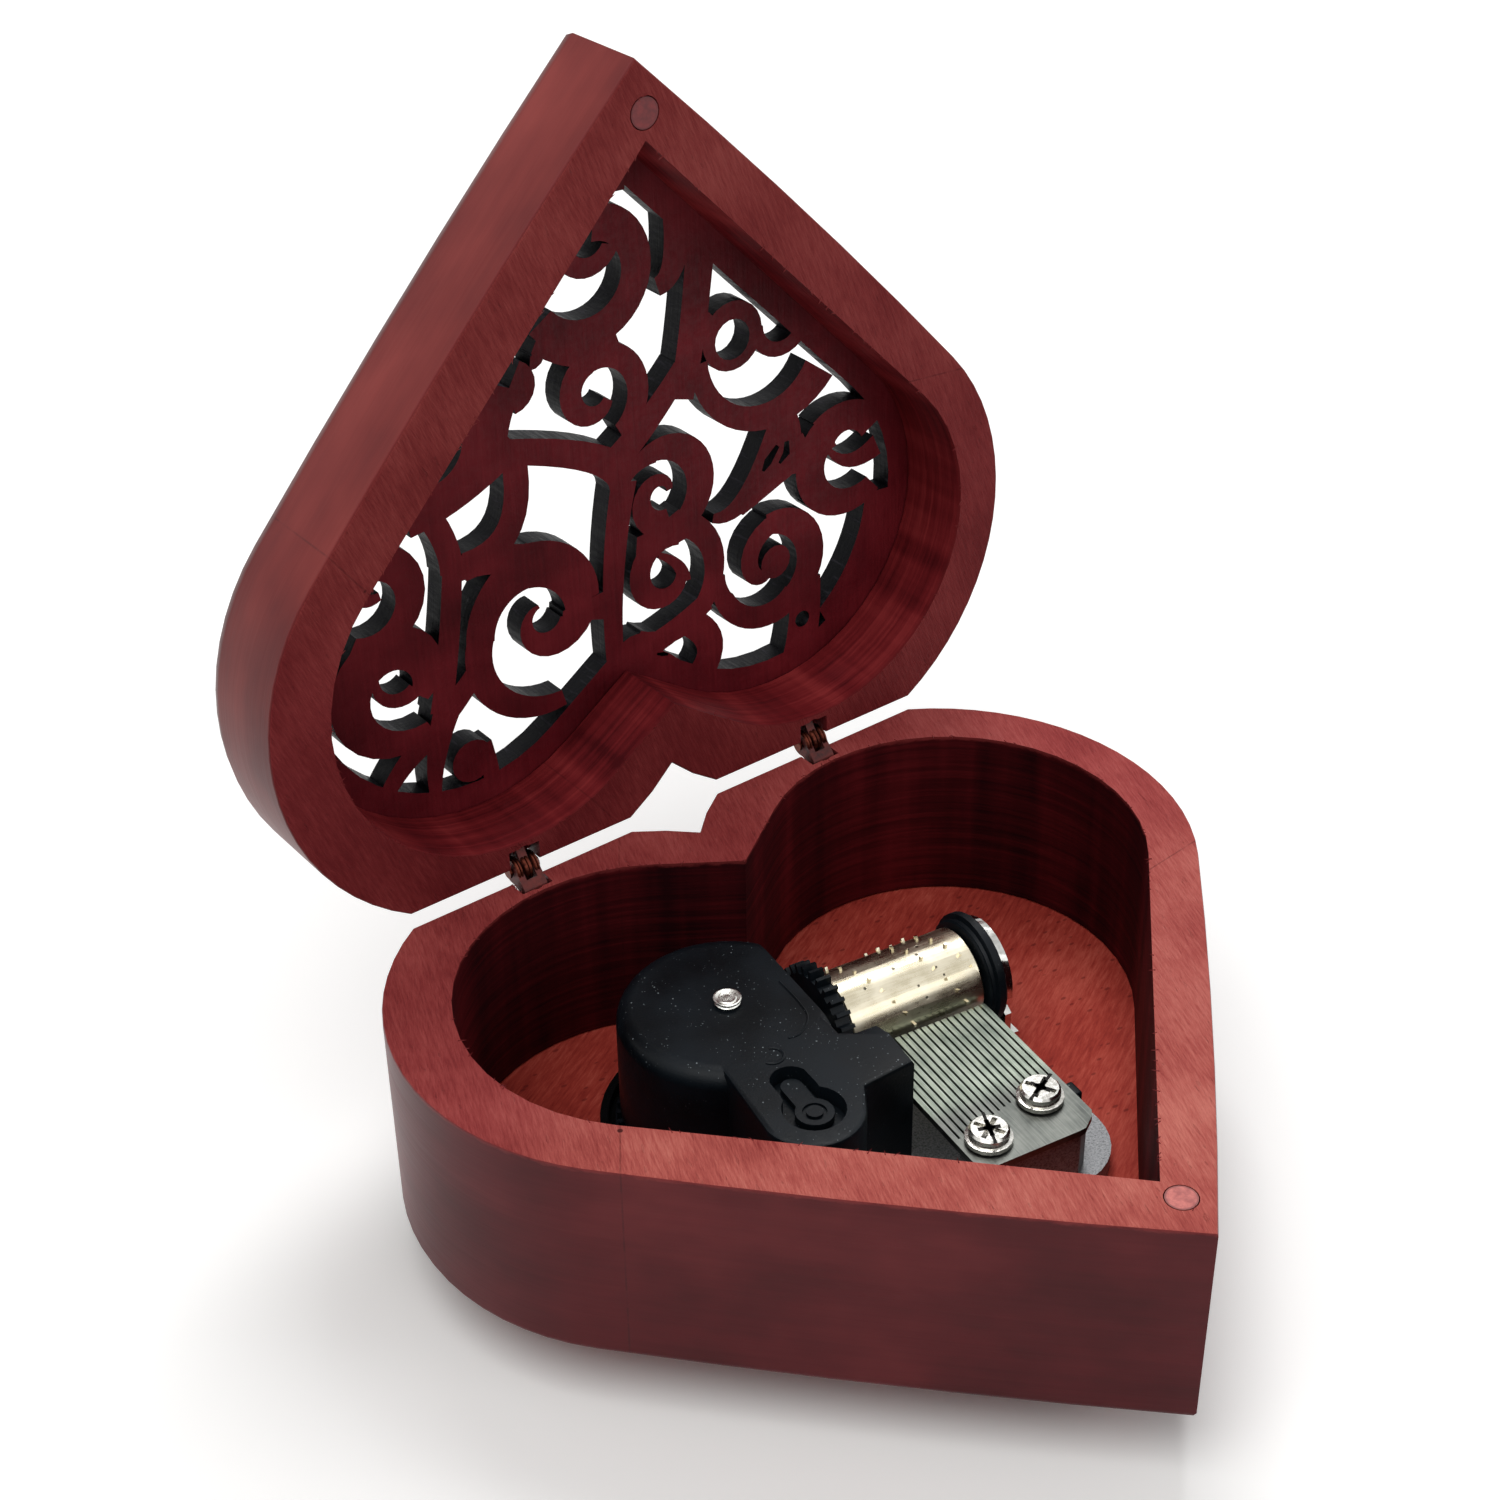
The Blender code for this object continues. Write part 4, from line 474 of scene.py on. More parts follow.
def stained_wood(name, opened, rim_z, outer, inner, rim_tones, pale_and_lit_front_share):
    material, tree, shader, place, facing = new_finish(name)
    place, facing = closed_place(tree, place, facing, opened)
    masks = level, from_rim, rim, inside = wood_masks(tree, place, facing, rim_z)
    streaks = clouds(tree, place, 0.7 * MM, stretch=(30, 30, 1), detail=4)
    scratches, fine = saw_marks(tree, place)

    wall = outer_wall(tree, place, opened, outer)
    z = split(tree, place)[2]
    top_edge = times(tree, fade(tree, z, *LID_TOP_EDGE), fade(tree, level, 1.0, 0.4))
    wall = mix_colours(tree, times(tree, top_edge, 0.6), wall, GATHERED_STAIN)
    side = mix_colours(tree, inside, wall, routed_pocket(tree, place, streaks, inner))

    ragged = clouds(tree, place, 1.1 * MM, stretch=(3, 3, 1), detail=5, rough=0.75)
    near_rim = fade(tree, plus(tree, from_rim, times(tree, ragged, RAGGED_REACH)), *NEAR_RIM)
    side = mix_colours(tree, times(tree, near_rim, 0.55), side, linear(*rim_tones[1]))

    sawn = sawn_rim(tree, place, scratches, fine, rim_tones, pale_and_lit_front_share)
    colour = mix_colours(tree, rim, side, sawn)
    colour = mix_colours(tree, times(tree, glue_joints(tree, place), 0.85), colour, GLUE_LINE)
    tree.links.new(colour, shader.inputs["Base Color"])
    wood_surface(tree, shader, place, masks, streaks, scratches, fine)
    return material


case_wood = stained_wood(
    "stained wood of the case", False, CASE_RIM_Z,
    outer=((70, 15, 20), (89, 24, 29), (110, 38, 41)),
    inner=((34, 5, 9), (62, 11, 16), (92, 21, 26)),
    rim_tones=((108, 34, 37), (146, 58, 58), (166, 74, 72), (190, 100, 96)),
    pale_and_lit_front_share=0.8,
)
lid_wood = stained_wood(
    "stained wood of the lid", True, LID_RIM_Z,
    outer=((92, 24, 26), (118, 40, 38), (140, 56, 52)),
    inner=((78, 15, 21), (118, 31, 36), (152, 52, 54)),
    rim_tones=((94, 25, 31), (115, 37, 40), (131, 48, 50), (152, 65, 65)),
    pale_and_lit_front_share=0.12,
)
print("wood:", case_wood.name, "|", lid_wood.name)

# %% [markdown]
# The fretwork was cut by laser from thin board. Its faces keep the maroon stain, and every cut
# edge is charred black, with a grey sheen painted into the char's colour in patches. The panel is
# one solid, so again no second material is set face by face: the way a point faces chooses between
# stain and char.

# %% Fretwork panel
def charred_fretwork():
    material, tree, shader, place, facing = new_finish("laser cut panel")
    place, facing = closed_place(tree, place, facing, True)
    face = fade(tree, maths(tree, "ABSOLUTE", split(tree, facing)[2]), 0.45, 0.75)
    grain = clouds(tree, place, 0.5 * MM, stretch=(1, 22, 1), detail=5)
    cloudy = clouds(tree, place, 14 * MM, detail=3)
    shade = blend(tree, (grain, 0.22), (cloudy, 0.78))
    stain = tones(tree, shade, (0.32, (70, 12, 19)), (0.5, (96, 21, 29)), (0.68, (120, 32, 40)))
    soot_and_sheen = clouds(tree, place, 0.7 * MM, stretch=(1, 1, 6), detail=5)
    # the char is black, and its pale end is a painted grey sheen
    char_and_painted_sheen = tones(tree, soot_and_sheen, (0.35, (4, 4, 7)), (0.56, (11, 11, 15)), (0.74, (52, 50, 56)))
    tree.links.new(fade(tree, face, 0, 1, 0.07, 0.12), shader.inputs["Specular IOR Level"])
    tree.links.new(mix_colours(tree, face, char_and_painted_sheen, stain), shader.inputs["Base Color"])
    tree.links.new(fade(tree, soot_and_sheen, 0.3, 0.7, 0.38, 0.62), shader.inputs["Roughness"])
    relief(tree, shader, plus(tree, grain, soot_and_sheen), 0.1 * MM, 0.6)
    return material


panel_wood = charred_fretwork()
print("panel:", panel_wood.name)

# %% [markdown]
# The floor board is thin ply, stained lighter than the walls and never rubbed down, so it shows
# small dark flecks. They are the cells of a Voronoi texture, cut off close to their middles and
# drawn out a little along the grain.

# %% Floor board
def flecked_board():
    material, tree, shader, place, _ = new_finish("stained floor board", Specular_IOR_Level=0.08)
    grain = clouds(tree, place, 0.5 * MM, stretch=(7, 1, 1), turn=(0, 0, 0.5), detail=5, rough=0.7)
    cloudy = clouds(tree, place, 18 * MM, detail=3)
    shade = blend(tree, (grain, 0.55), (cloudy, 0.45))
    stain = tones(tree, shade, (0.34, (130, 38, 33)), (0.5, (167, 61, 51)), (0.66, (196, 90, 76)))
    flecks = specks(tree, turned(tree, place, "TEXTURE", stretch=(2, 1, 1)), 1.5 * MM, 0.3 * MM)
    stain = mix_colours(tree, times(tree, flecks, 0.55), stain, linear(96, 30, 28))
    tree.links.new(stain, shader.inputs["Base Color"])
    tree.links.new(fade(tree, grain, 0.3, 0.7, 0.55, 0.8), shader.inputs["Roughness"])
    relief(tree, shader, grain, 0.12 * MM, 0.7)
    return material


floor_wood = flecked_board()
print("board:", floor_wood.name)

# %% [markdown]
# Moulded plastic and rubber are near black with a fine moulded grain. Pale dust has settled on
# the faces that look up. It could be scattered as tiny objects, but specks in the colour cost
# nothing and can't fall off when a body moves.

# %% Black plastic and rubber
def soft_black(name, dark, pale, roughness, dust):
    material, tree, shader, place, facing = new_finish(name, Specular_IOR_Level=0.16)
    mould = clouds(tree, place, 0.35 * MM, detail=3)
    cloudy = clouds(tree, place, 9 * MM, detail=3)
    colour = tones(tree, cloudy, (0.35, dark), (0.7, pale))
    lint = maths(tree, "MAXIMUM", specks(tree, place, 1.25 * MM, 0.13 * MM),
                 specks(tree, place, 0.6 * MM, 0.07 * MM))
    settled = times(tree, lint, fade(tree, clouds(tree, place, 5 * MM), 0.42, 0.6))
    settled = times(tree, settled, fade(tree, split(tree, facing)[2], 0.2, 0.8, 0.15, 1.0))
    colour = mix_colours(tree, times(tree, settled, dust), colour, linear(150, 160, 165))
    tree.links.new(colour, shader.inputs["Base Color"])
    tree.links.new(fade(tree, cloudy, 0.3, 0.7, roughness - 0.07, roughness + 0.07),
                   shader.inputs["Roughness"])
    relief(tree, shader, mould, 0.05 * MM, 0.5)
    return material


black_plastic = soft_black("moulded black plastic", (5, 9, 13), (13, 20, 26), 0.42, 0.8)
rubber = soft_black("black rubber", (10, 10, 10), (24, 24, 24), 0.66, 0.3)
print("blacks:", black_plastic.name, "|", rubber.name)

# %% [markdown]
# Metals. What tells them apart is the colour, how blurred the reflection is and which way they
# were worked: the screws are turned, the spring is rolled and blued, the hinges are antiqued and
# their forks were stained over with the wood. One recipe with a few numbers covers them all.

# %% Plain metals
def worked_metal(name, dark, pale, roughness, mark, stretch=(1, 1, 1), depth=0.03, metallic=1.0):
    """Tool marks about mark millimetres across and depth millimetres deep."""
    material, tree, shader, place, _ = new_finish(name, Metallic=metallic)
    marks = clouds(tree, place, mark * MM, stretch=stretch, detail=4, rough=0.6)
    cloudy = clouds(tree, place, 4 * MM, detail=2)
    shade = blend(tree, (marks, 0.6), (cloudy, 0.4))
    tree.links.new(tones(tree, shade, (0.35, dark), (0.65, pale)), shader.inputs["Base Color"])
    tree.links.new(fade(tree, shade, 0.3, 0.7, roughness - 0.06, roughness + 0.08),
                   shader.inputs["Roughness"])
    relief(tree, shader, marks, depth * MM, 0.5)
    return material


chrome = worked_metal("bright plate", (170, 170, 166), (226, 226, 222), 0.14, 1.2, depth=0.02)
screw_steel = worked_metal("turned screw steel", (176, 174, 168), (232, 230, 224), 0.22, 0.5)
spring_steel = worked_metal("blued spring", (66, 72, 84), (116, 122, 134), 0.3, 0.3, (1, 1, 14))
brass = worked_metal("brass", (150, 112, 52), (206, 168, 96), 0.28, 0.5)
hinge_brass = worked_metal("antiqued hinge", (34, 14, 12), (118, 60, 46), 0.36, 0.8, depth=0.08)
stained_hinge = worked_metal("hinge stained over", (46, 14, 14), (104, 40, 36), 0.5, 0.8,
                             depth=0.08, metallic=0.5)
rivet_steel = worked_metal("bright rivet", (214, 214, 208), (246, 246, 240), 0.3, 0.4, depth=0.02)
# painted shade for the inside of the screw recesses
recess_shade = worked_metal("painted shade in a screw recess", (18, 18, 18), (52, 50, 48), 0.5, 0.3)
print("plain metals: 8")

# %% [markdown]
# The comb is ground along its teeth: greenish where they were tempered, plain dark grey on the
# root plate. The change runs across the comb, so the mask is a distance along the movement's own
# axis, which a weighted sum of x and y gives.

# %% Comb steel
ALONG_MOVEMENT = (0, 0, -MOVEMENT_TURN)
TEETH_END, ROOT_START = -12.5 * MM, -16.5 * MM


def ground_comb():
    material, tree, shader, place, _ = new_finish("ground comb steel", Metallic=1.0)
    marks = clouds(tree, place, 0.18 * MM, stretch=(1, 30, 1), turn=ALONG_MOVEMENT, detail=4)
    cloudy = clouds(tree, place, 4 * MM, detail=3)
    shade = blend(tree, (marks, 0.5), (cloudy, 0.5))
    teeth = tones(tree, shade, (0.35, (106, 116, 106)), (0.65, (158, 166, 153)))
    root = tones(tree, shade, (0.35, (82, 85, 82)), (0.65, (122, 124, 119)))
    x, y, _ = split(tree, place)
    along = blend(tree, (x, math.sin(MOVEMENT_TURN)), (y, math.cos(MOVEMENT_TURN)))
    rooted = fade(tree, along, TEETH_END, ROOT_START)
    tree.links.new(mix_colours(tree, rooted, teeth, root), shader.inputs["Base Color"])
    tree.links.new(fade(tree, shade, 0.3, 0.7, 0.3, 0.44), shader.inputs["Roughness"])
    relief(tree, shader, marks, 0.02 * MM, 0.5)
    return material


comb_steel = ground_comb()
print("comb:", comb_steel.name)

# %% [markdown]
# The cylinder is a drawn tube with champagne plating. Between the pins it has small holes, in
# shade inside. They are too many and too small to cut, so specks dent the surface and paint the
# holes' shade into the colour.

# %% Cylinder plating
def plated_cylinder():
    material, tree, shader, place, _ = new_finish("plated cylinder", Metallic=1.0)
    marks = clouds(tree, place, 0.3 * MM, stretch=(20, 1, 1), turn=ALONG_MOVEMENT, detail=3)
    cloudy = clouds(tree, place, 3 * MM, detail=3)
    shade = blend(tree, (marks, 0.4), (cloudy, 0.6))
    plating = tones(tree, shade, (0.35, (198, 188, 162)), (0.65, (226, 218, 196)))
    holes_and_their_shade = specks(tree, place, 2.3 * MM, 0.27 * MM)
    # painted shade: the holes darken the plating
    plating = mix_colours(tree, times(tree, holes_and_their_shade, 0.85), plating, linear(40, 34, 28))
    tree.links.new(plating, shader.inputs["Base Color"])
    tree.links.new(fade(tree, shade, 0.3, 0.7, 0.24, 0.32), shader.inputs["Roughness"])
    relief(tree, shader, minus(tree, times(tree, marks, 0.015), holes_and_their_shade), 0.1 * MM, 0.6)
    return material


nickel = plated_cylinder()
print("cylinder:", nickel.name)

# %% [markdown]
# The bedplate is cast, speckled and silver at the comb's corner, and black near the cover. Its
# black part is round about the arbor, so the distance from there, seen from above, draws the
# border.

# %% Bedplate
BLACK_INSIDE, SILVER_OUTSIDE = 20 * MM, 24 * MM


def cast_bedplate():
    material, tree, shader, place, _ = new_finish("cast bedplate", Metallic=0.9)
    sand = clouds(tree, place, 0.3 * MM, detail=4, rough=0.7)
    speckle = specks(tree, place, 0.7 * MM, 0.16 * MM)
    silver = tones(tree, sand, (0.35, (96, 97, 99)), (0.65, (164, 165, 167)))
    silver = mix_colours(tree, times(tree, speckle, 0.5), silver, linear(60, 61, 63))
    seen_from_above = turned(tree, place, "VECTOR", stretch=(1, 1, 0))
    covered = fade(tree, distance(tree, seen_from_above, ARBOR), SILVER_OUTSIDE, BLACK_INSIDE)
    tree.links.new(mix_colours(tree, covered, silver, linear(14, 15, 17)),
                   shader.inputs["Base Color"])
    tree.links.new(fade(tree, sand, 0.3, 0.7, 0.4, 0.58), shader.inputs["Roughness"])
    relief(tree, shader, sand, 0.09 * MM, 0.6)
    return material


cast_metal = cast_bedplate()
print("bedplate:", cast_metal.name)

# %% [markdown]
# The closing magnets are plugs sunk flush and stained over with the rim. Round each lies a fine
# groove in shade. It would be too fine to see as more than a line, so painted shade draws it as a
# thin dark ring, by the distance from the plug's axis.

# %% Stained magnets
MAGNET_X, MAGNET_Y = 0.9 * MM, BACK_FLATS_Y - 98.2 * MM
EDGE_SHADE_START, EDGE_SHADE_FULL = 1.7 * MM, 1.85 * MM


def stained_magnet(opened, low, high):
    material, tree, shader, place, facing = new_finish("stained magnet", Specular_IOR_Level=0.4)
    place, facing = closed_place(tree, place, facing, opened)
    x, y, _ = split(tree, place)
    away_x, away_y = minus(tree, x, MAGNET_X), minus(tree, y, MAGNET_Y)
    away = maths(tree, "SQRT", blend(tree, (away_x, away_x), (away_y, away_y)))
    # painted shade: a thin dark ring at the plug's edge, for the groove round it
    ring = times(tree, fade(tree, away, EDGE_SHADE_START, EDGE_SHADE_FULL), 0.55)
    mottle = clouds(tree, place, 0.9 * MM, detail=4)
    colour = tones(tree, mottle, (0.35, low), (0.65, high))
    tree.links.new(mix_colours(tree, ring, colour, linear(84, 24, 28)),
                   shader.inputs["Base Color"])
    tree.links.new(fade(tree, mottle, 0.3, 0.7, 0.36, 0.5), shader.inputs["Roughness"])
    relief(tree, shader, mottle, 0.06 * MM, 0.5)
    return material


case_magnet = stained_magnet(False, (168, 80, 76), (212, 120, 112))
lid_magnet = stained_magnet(True, (100, 31, 35), (132, 50, 52))
print("magnets:", case_magnet.name, "|", lid_magnet.name)

# %% [markdown]
# Which finish goes where. The frame gives each solid a slot, named for what it is made of, and
# most solids take their slot's finish. A few differ from the rest of their slot and are named
# one by one, which is shorter than a finish for every solid.

# %% Finishes of the solids
FINISHES = {
    "floor_wood": floor_wood, "rubber": rubber, "hinge_brass": hinge_brass,
    "black_plastic": black_plastic, "cast_metal": cast_metal, "nickel": nickel,
    "comb_steel": comb_steel, "chrome": chrome, "spring_steel": spring_steel, "brass": brass,
    "screw_steel": screw_steel, "panel_wood": panel_wood,
}
OWN_FINISH = {
    "base_frame": case_wood, "lid_frame": lid_wood,
    "base_magnet": case_magnet, "lid_magnet": lid_magnet,
    "hinge_base_left": stained_hinge, "hinge_base_right": stained_hinge,
    "hinge_lid_left": stained_hinge, "hinge_lid_right": stained_hinge,
    "winding_arbor": rivet_steel,
    "governor_lever": black_plastic, "great_wheel": black_plastic,
}
print("slots:", len(FINISHES), "own finishes:", len(OWN_FINISH))

# %% [markdown]
# The frame's solids are loose triangles with hard facets. Shading them smooth as they are would do
# nothing, because no two triangles share a corner. So a copy of each is merged, shaded smooth up
# to a chosen angle, and weighted normals keep the large flats flat. The copy takes the solid's
# place, its body and its finish.

# %% Smooth copies of the solids
SMOOTH_ANGLE = math.radians(32)
MERGE_DISTANCE = 0.002 * MM


def merged_mesh(node):
    """The solid's triangles joined into one skin, as a bmesh."""
    skin = bmesh.new()
    skin.from_mesh(frame["nodes"][node].data)
    bmesh.ops.remove_doubles(skin, verts=skin.verts, dist=MERGE_DISTANCE)
    return skin


def smooth_copy(node):
    source = frame["nodes"][node]
    slot = source.data.materials[0].name.split(".")[0]
    finish = OWN_FINISH.get(node) or FINISHES[slot]
    skin = merged_mesh(node)
    mesh = bpy.data.meshes.new(node + "_smooth")
    skin.to_mesh(mesh)
    skin.free()
    for label in ("custom_normal", "sharp_edge", "sharp_face"):
        if label in mesh.attributes:
            mesh.attributes.remove(mesh.attributes[label])
    mesh.shade_smooth()
    mesh.set_sharp_from_angle(angle=SMOOTH_ANGLE)
    mesh.materials.clear()
    mesh.materials.append(finish)
    source.data.materials[0] = finish
    piece = bpy.data.objects.new(node + "_smooth", mesh)
    bpy.context.scene.collection.objects.link(piece)
    weights = piece.modifiers.new("weighted normals", "WEIGHTED_NORMAL")
    weights.keep_sharp = True
    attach(piece, source["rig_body"])
    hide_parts(node)
    return piece


smooth = [smooth_copy(node) for node in sorted(frame["nodes"])]
print("smooth copies:", len(smooth))

# %% [markdown]
# New pieces start as a ring or a small block and are drawn out with bmesh operators. This helper
# makes a finished bmesh into a piece that rides on a body.

# %% Piece helper
PIECE_SMOOTH_ANGLE = 0.6


def finish_piece(skin, name, finish, body):
    bmesh.ops.recalc_face_normals(skin, faces=skin.faces)
    mesh = bpy.data.meshes.new(name)
    skin.to_mesh(mesh)
    skin.free()
    mesh.shade_smooth()
    mesh.set_sharp_from_angle(angle=PIECE_SMOOTH_ANGLE)
    mesh.materials.append(finish)
    piece = bpy.data.objects.new(name, mesh)
    bpy.context.scene.collection.objects.link(piece)
    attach(piece, body)
    print(name, len(mesh.vertices), "points")


def only_verts(geometry):
    return [part for part in geometry if isinstance(part, bmesh.types.BMVert)]


print("piece helper ready")

# %% [markdown]
# A moulded bead is a round section drawn along a line. A curve object with a bevel makes one too,
# but it has to be turned into a mesh afterwards. Here a ring is extruded from place to place, so
# the mesh is there at once, and both ends are filled. A few points are enough for the line: a
# smooth run is drawn through them.

# %% Bead helpers
def draw_bead(skin, points, radius, sides):
    up = Vector((0, 0, 1))
    places = []
    for number, point in enumerate(points):
        before, after = points[max(number - 1, 0)], points[min(number + 1, len(points) - 1)]
        ahead = (after - before).normalized()
        across = ahead.cross(up).normalized()
        turn = Matrix((across, across.cross(ahead), ahead)).transposed().to_4x4()
        places.append(Matrix.Translation(point) @ turn)
    ring = bmesh.ops.create_circle(skin, segments=sides, radius=radius, matrix=places[0])
    edges = list(dict.fromkeys(edge for vert in ring["verts"] for edge in vert.link_edges))
    start = list(edges)
    for old, new in zip(places, places[1:]):
        made = bmesh.ops.extrude_edge_only(skin, edges=edges)["geom"]
        verts = only_verts(made)
        chosen = set(verts)
        edges = [part for part in made if isinstance(part, bmesh.types.BMEdge)
                 and part.verts[0] in chosen and part.verts[1] in chosen]
        bmesh.ops.transform(skin, matrix=new @ old.inverted(), verts=verts)
    for end in (start, edges):
        bmesh.ops.holes_fill(skin, edges=end, sides=sides)


def curved(points, steps=6):
    """A smooth run of points through the few given ones."""
    run = []
    for number in range(len(points) - 1):
        a = points[max(number - 1, 0)]
        b, c = points[number], points[number + 1]
        d = points[min(number + 2, len(points) - 1)]
        for step in range(steps):
            t = step / steps
            run.append(0.5 * ((2 * b) + (c - a) * t + (2 * a - 5 * b + 4 * c - d) * t * t
                              + (3 * b - a - 3 * c + d) * t * t * t))
    run.append(points[-1])
    return run


print("bead helpers ready")

# %% [markdown]
# The black cover has a fine raised line that follows its shoulder, and beside the keyhole-like
# recess a small C-shaped ridge. They could be bumps in the material, but a bump has no outline
# in a low view. So both are beads, half sunk in the top.

# %% Lines on the black cover
COVER_TOP = 21.8
SHOULDER_LINE = ((8.0, 0.3), (8.1, -3.9), (7.6, -7.7), (5.2, -10.0), (3.3, -10.1))
C_MIDDLE, C_RADIUS, C_POINTS = (-0.2, -12.0), 1.5, 15
C_START, C_STEP = -150, 16

cover_lines = bmesh.new()
shoulder = [on_movement(u, v, COVER_TOP + 0.03) for u, v in SHOULDER_LINE]
draw_bead(cover_lines, curved(shoulder), 0.16 * MM, 6)
c_ridge = []
for step in range(C_POINTS):
    angle = math.radians(C_START + C_STEP * step)
    c_ridge.append(on_movement(C_MIDDLE[0] + C_RADIUS * math.cos(angle),
                               C_MIDDLE[1] + C_RADIUS * math.sin(angle), COVER_TOP))
draw_bead(cover_lines, c_ridge, 0.24 * MM, 6)
finish_piece(cover_lines, "cover_lines", black_plastic, "case")

# %% [markdown]
# The arbor ends in a bright rivet on the cover's top, dished in the middle and with a turned
# ring. A profile could be spun for it. Here a disc is inset and pushed up or down in steps,
# which keeps its faces level and its rings even.

# %% Rivet on the arbor
RIVET_RADIUS, RIVET_FOOT_Z, RIVET_EDGE = 1.85 * MM, 35.72 * MM, 0.22 * MM
RIVET_STEPS = ((0.18, 0.06), (0.42, -0.16), (0.16, 0.1), (0.3, -0.1), (0.35, 0.05))

rivet = bmesh.new()
bmesh.ops.create_circle(rivet, cap_ends=True, segments=40, radius=RIVET_RADIUS,
                        matrix=Matrix.Translation((ARBOR.x, ARBOR.y, RIVET_FOOT_Z)))
edge = bmesh.ops.extrude_face_region(rivet, geom=rivet.faces[:])["geom"]
bmesh.ops.translate(rivet, vec=(0, 0, RIVET_EDGE), verts=only_verts(edge))
top = max(rivet.faces, key=lambda one: one.calc_center_median().z)
for inward, rise in RIVET_STEPS:
    bmesh.ops.inset_region(rivet, faces=[top], thickness=inward * MM, depth=rise * MM,
                           use_boundary=True, use_even_offset=True)
finish_piece(rivet, "arbor_rivet", rivet_steel, "winder")

# %% [markdown]
# Each hinge is a small barrel of three rolled knuckles on one pin: the outer two belong to the
# case and the middle one to the lid. A cylinder with bevelled ends would do from afar. A profile
# with rounded shoulders and a groove, spun round the pin, also shows how the sheet was rolled,
# and looks the same wherever the lid stands.

# %% Hinge knuckles
# all in millimetres; each knuckle is (middle along the pin, width)
HINGE_X = 24.8
KNUCKLES = {"case": ((-1.33, 0.92), (1.33, 0.92)), "lid": ((0.0, 1.24),)}
KNUCKLE_SIDES = 32
# how far the profile's points stand out from the pin's middle
HOLE, SHOULDER, ROLL, CREST, GROOVE = 0.7, 1.8, 2.0, 2.02, 1.86
ROUNDING, HALF_GROOVE = 0.15, 0.1


def knuckle(skin, middle_x, width):
    """One rolled knuckle: its profile is spun round the hinge pin."""
    half = width / 2
    profile = ((-half, HOLE), (-half, SHOULDER), (-half + ROUNDING, ROLL),
               (-HALF_GROOVE, CREST), (0.0, GROOVE), (HALF_GROOVE, CREST),
               (half - ROUNDING, ROLL), (half, SHOULDER), (half, HOLE))
    points = [skin.verts.new((HINGE_POINT.x + (middle_x + along) * MM, HINGE_POINT.y,
                              HINGE_POINT.z + out * MM)) for along, out in profile]
    edges = [skin.edges.new((a, b)) for a, b in zip(points, points[1:])]
    edges.append(skin.edges.new((points[-1], points[0])))
    bmesh.ops.spin(skin, geom=points + edges, cent=HINGE_POINT, axis=(1, 0, 0),
                   angle=2 * math.pi, steps=KNUCKLE_SIDES, use_merge=True)


for body, places in KNUCKLES.items():
    for side, label in ((-1, "left"), (1, "right")):
        skin = bmesh.new()
        for offset, width in places:
            knuckle(skin, side * HINGE_X + offset, width)
        finish_piece(skin, f"hinge_knuckle_{body}_{label}", hinge_brass, body)

# %% [markdown]
# The comb's screws have a cross recess and one slot that runs right across, both in shade inside.
# The solids' heads have no room for a cut that deep, so shallow bars lie a hair above each,
# coloured with the recesses' shade painted in.

# %% Screw recesses
# u, v and turn of each screw, then length, width and turn of each bar
SCREWS = ((30.96, -27.15, 20), (20.93, -30.27, 65))
BARS = ((5.9, 0.42, 0), (3.0, 0.62, 0), (3.0, 0.62, 90), (1.3, 1.3, 45))
RECESS_HEIGHT, BAR_THICKNESS = 14.315, 0.05

# bars of painted shade where the recesses would be
recess_shade_bars = bmesh.new()
for screw_u, screw_v, screw_turn in SCREWS:
    middle = Matrix.Translation(on_movement(screw_u, screw_v, RECESS_HEIGHT))
    for length, width, degrees in BARS:
        turn = Matrix.Rotation(math.radians(degrees + screw_turn), 4, "Z")
        size = Matrix.Diagonal((length * MM, width * MM, BAR_THICKNESS * MM, 1))
        bmesh.ops.create_cube(recess_shade_bars, size=1.0, matrix=middle @ turn @ size)
finish_piece(recess_shade_bars, "screw_recess_shade", recess_shade, "case")

# %% [markdown]
# A moulded black lug stands at the comb's right edge. It is a block whose edges are rounded with
# bevel, because moulded plastic has no sharp ones.

# %% Lug beside the comb
LUG_SIZE = (1.5, 2.6, 6.4)
LUG_MIDDLE = on_movement(37.0, -26.1, 7.4)


def rounded(skin, amount):
    bmesh.ops.bevel(skin, geom=skin.edges[:], offset=amount, segments=3, profile=0.5,
                    affect="EDGES", material=-1)


lug = bmesh.new()
bmesh.ops.create_cube(lug, size=1.0, matrix=(
    Matrix.Translation(LUG_MIDDLE) @ Matrix.Rotation(-MOVEMENT_TURN, 4, "Z")
    @ Matrix.Diagonal([side * MM for side in LUG_SIZE] + [1])))
rounded(lug, 0.3 * MM)
finish_piece(lug, "comb_lug", black_plastic, "case")

# %% [markdown]
# A chromed boss carries the far end of the cylinder's shaft: a six-sided collar against the
# bracket, with a round stub through it. Two cones of equal radii make them, set end to end along
# the shaft, and bevel takes off their sharp edges.

# %% Boss on the shaft
BOSS_START, BOSS_END = on_movement(40.4, 0, 12.0), on_movement(42.2, 0, 12.0)
# radius in millimetres, share of the boss's length, number of sides
BOSS_PARTS = ((3.3, 0.42, 6), (2.1, 1.0, 32))

along_shaft = BOSS_END - BOSS_START
shaft_turn = along_shaft.to_track_quat("Z", "Y").to_matrix().to_4x4()
boss = bmesh.new()
for radius, share, sides in BOSS_PARTS:
    depth = along_shaft.length * share
    middle = BOSS_START + along_shaft.normalized() * depth / 2
    bmesh.ops.create_cone(boss, cap_ends=True, segments=sides, radius1=radius * MM,
                          radius2=radius * MM, depth=depth,
                          matrix=Matrix.Translation(middle) @ shaft_turn)
rounded(boss, 0.12 * MM)
finish_piece(boss, "shaft_boss", chrome, "case")

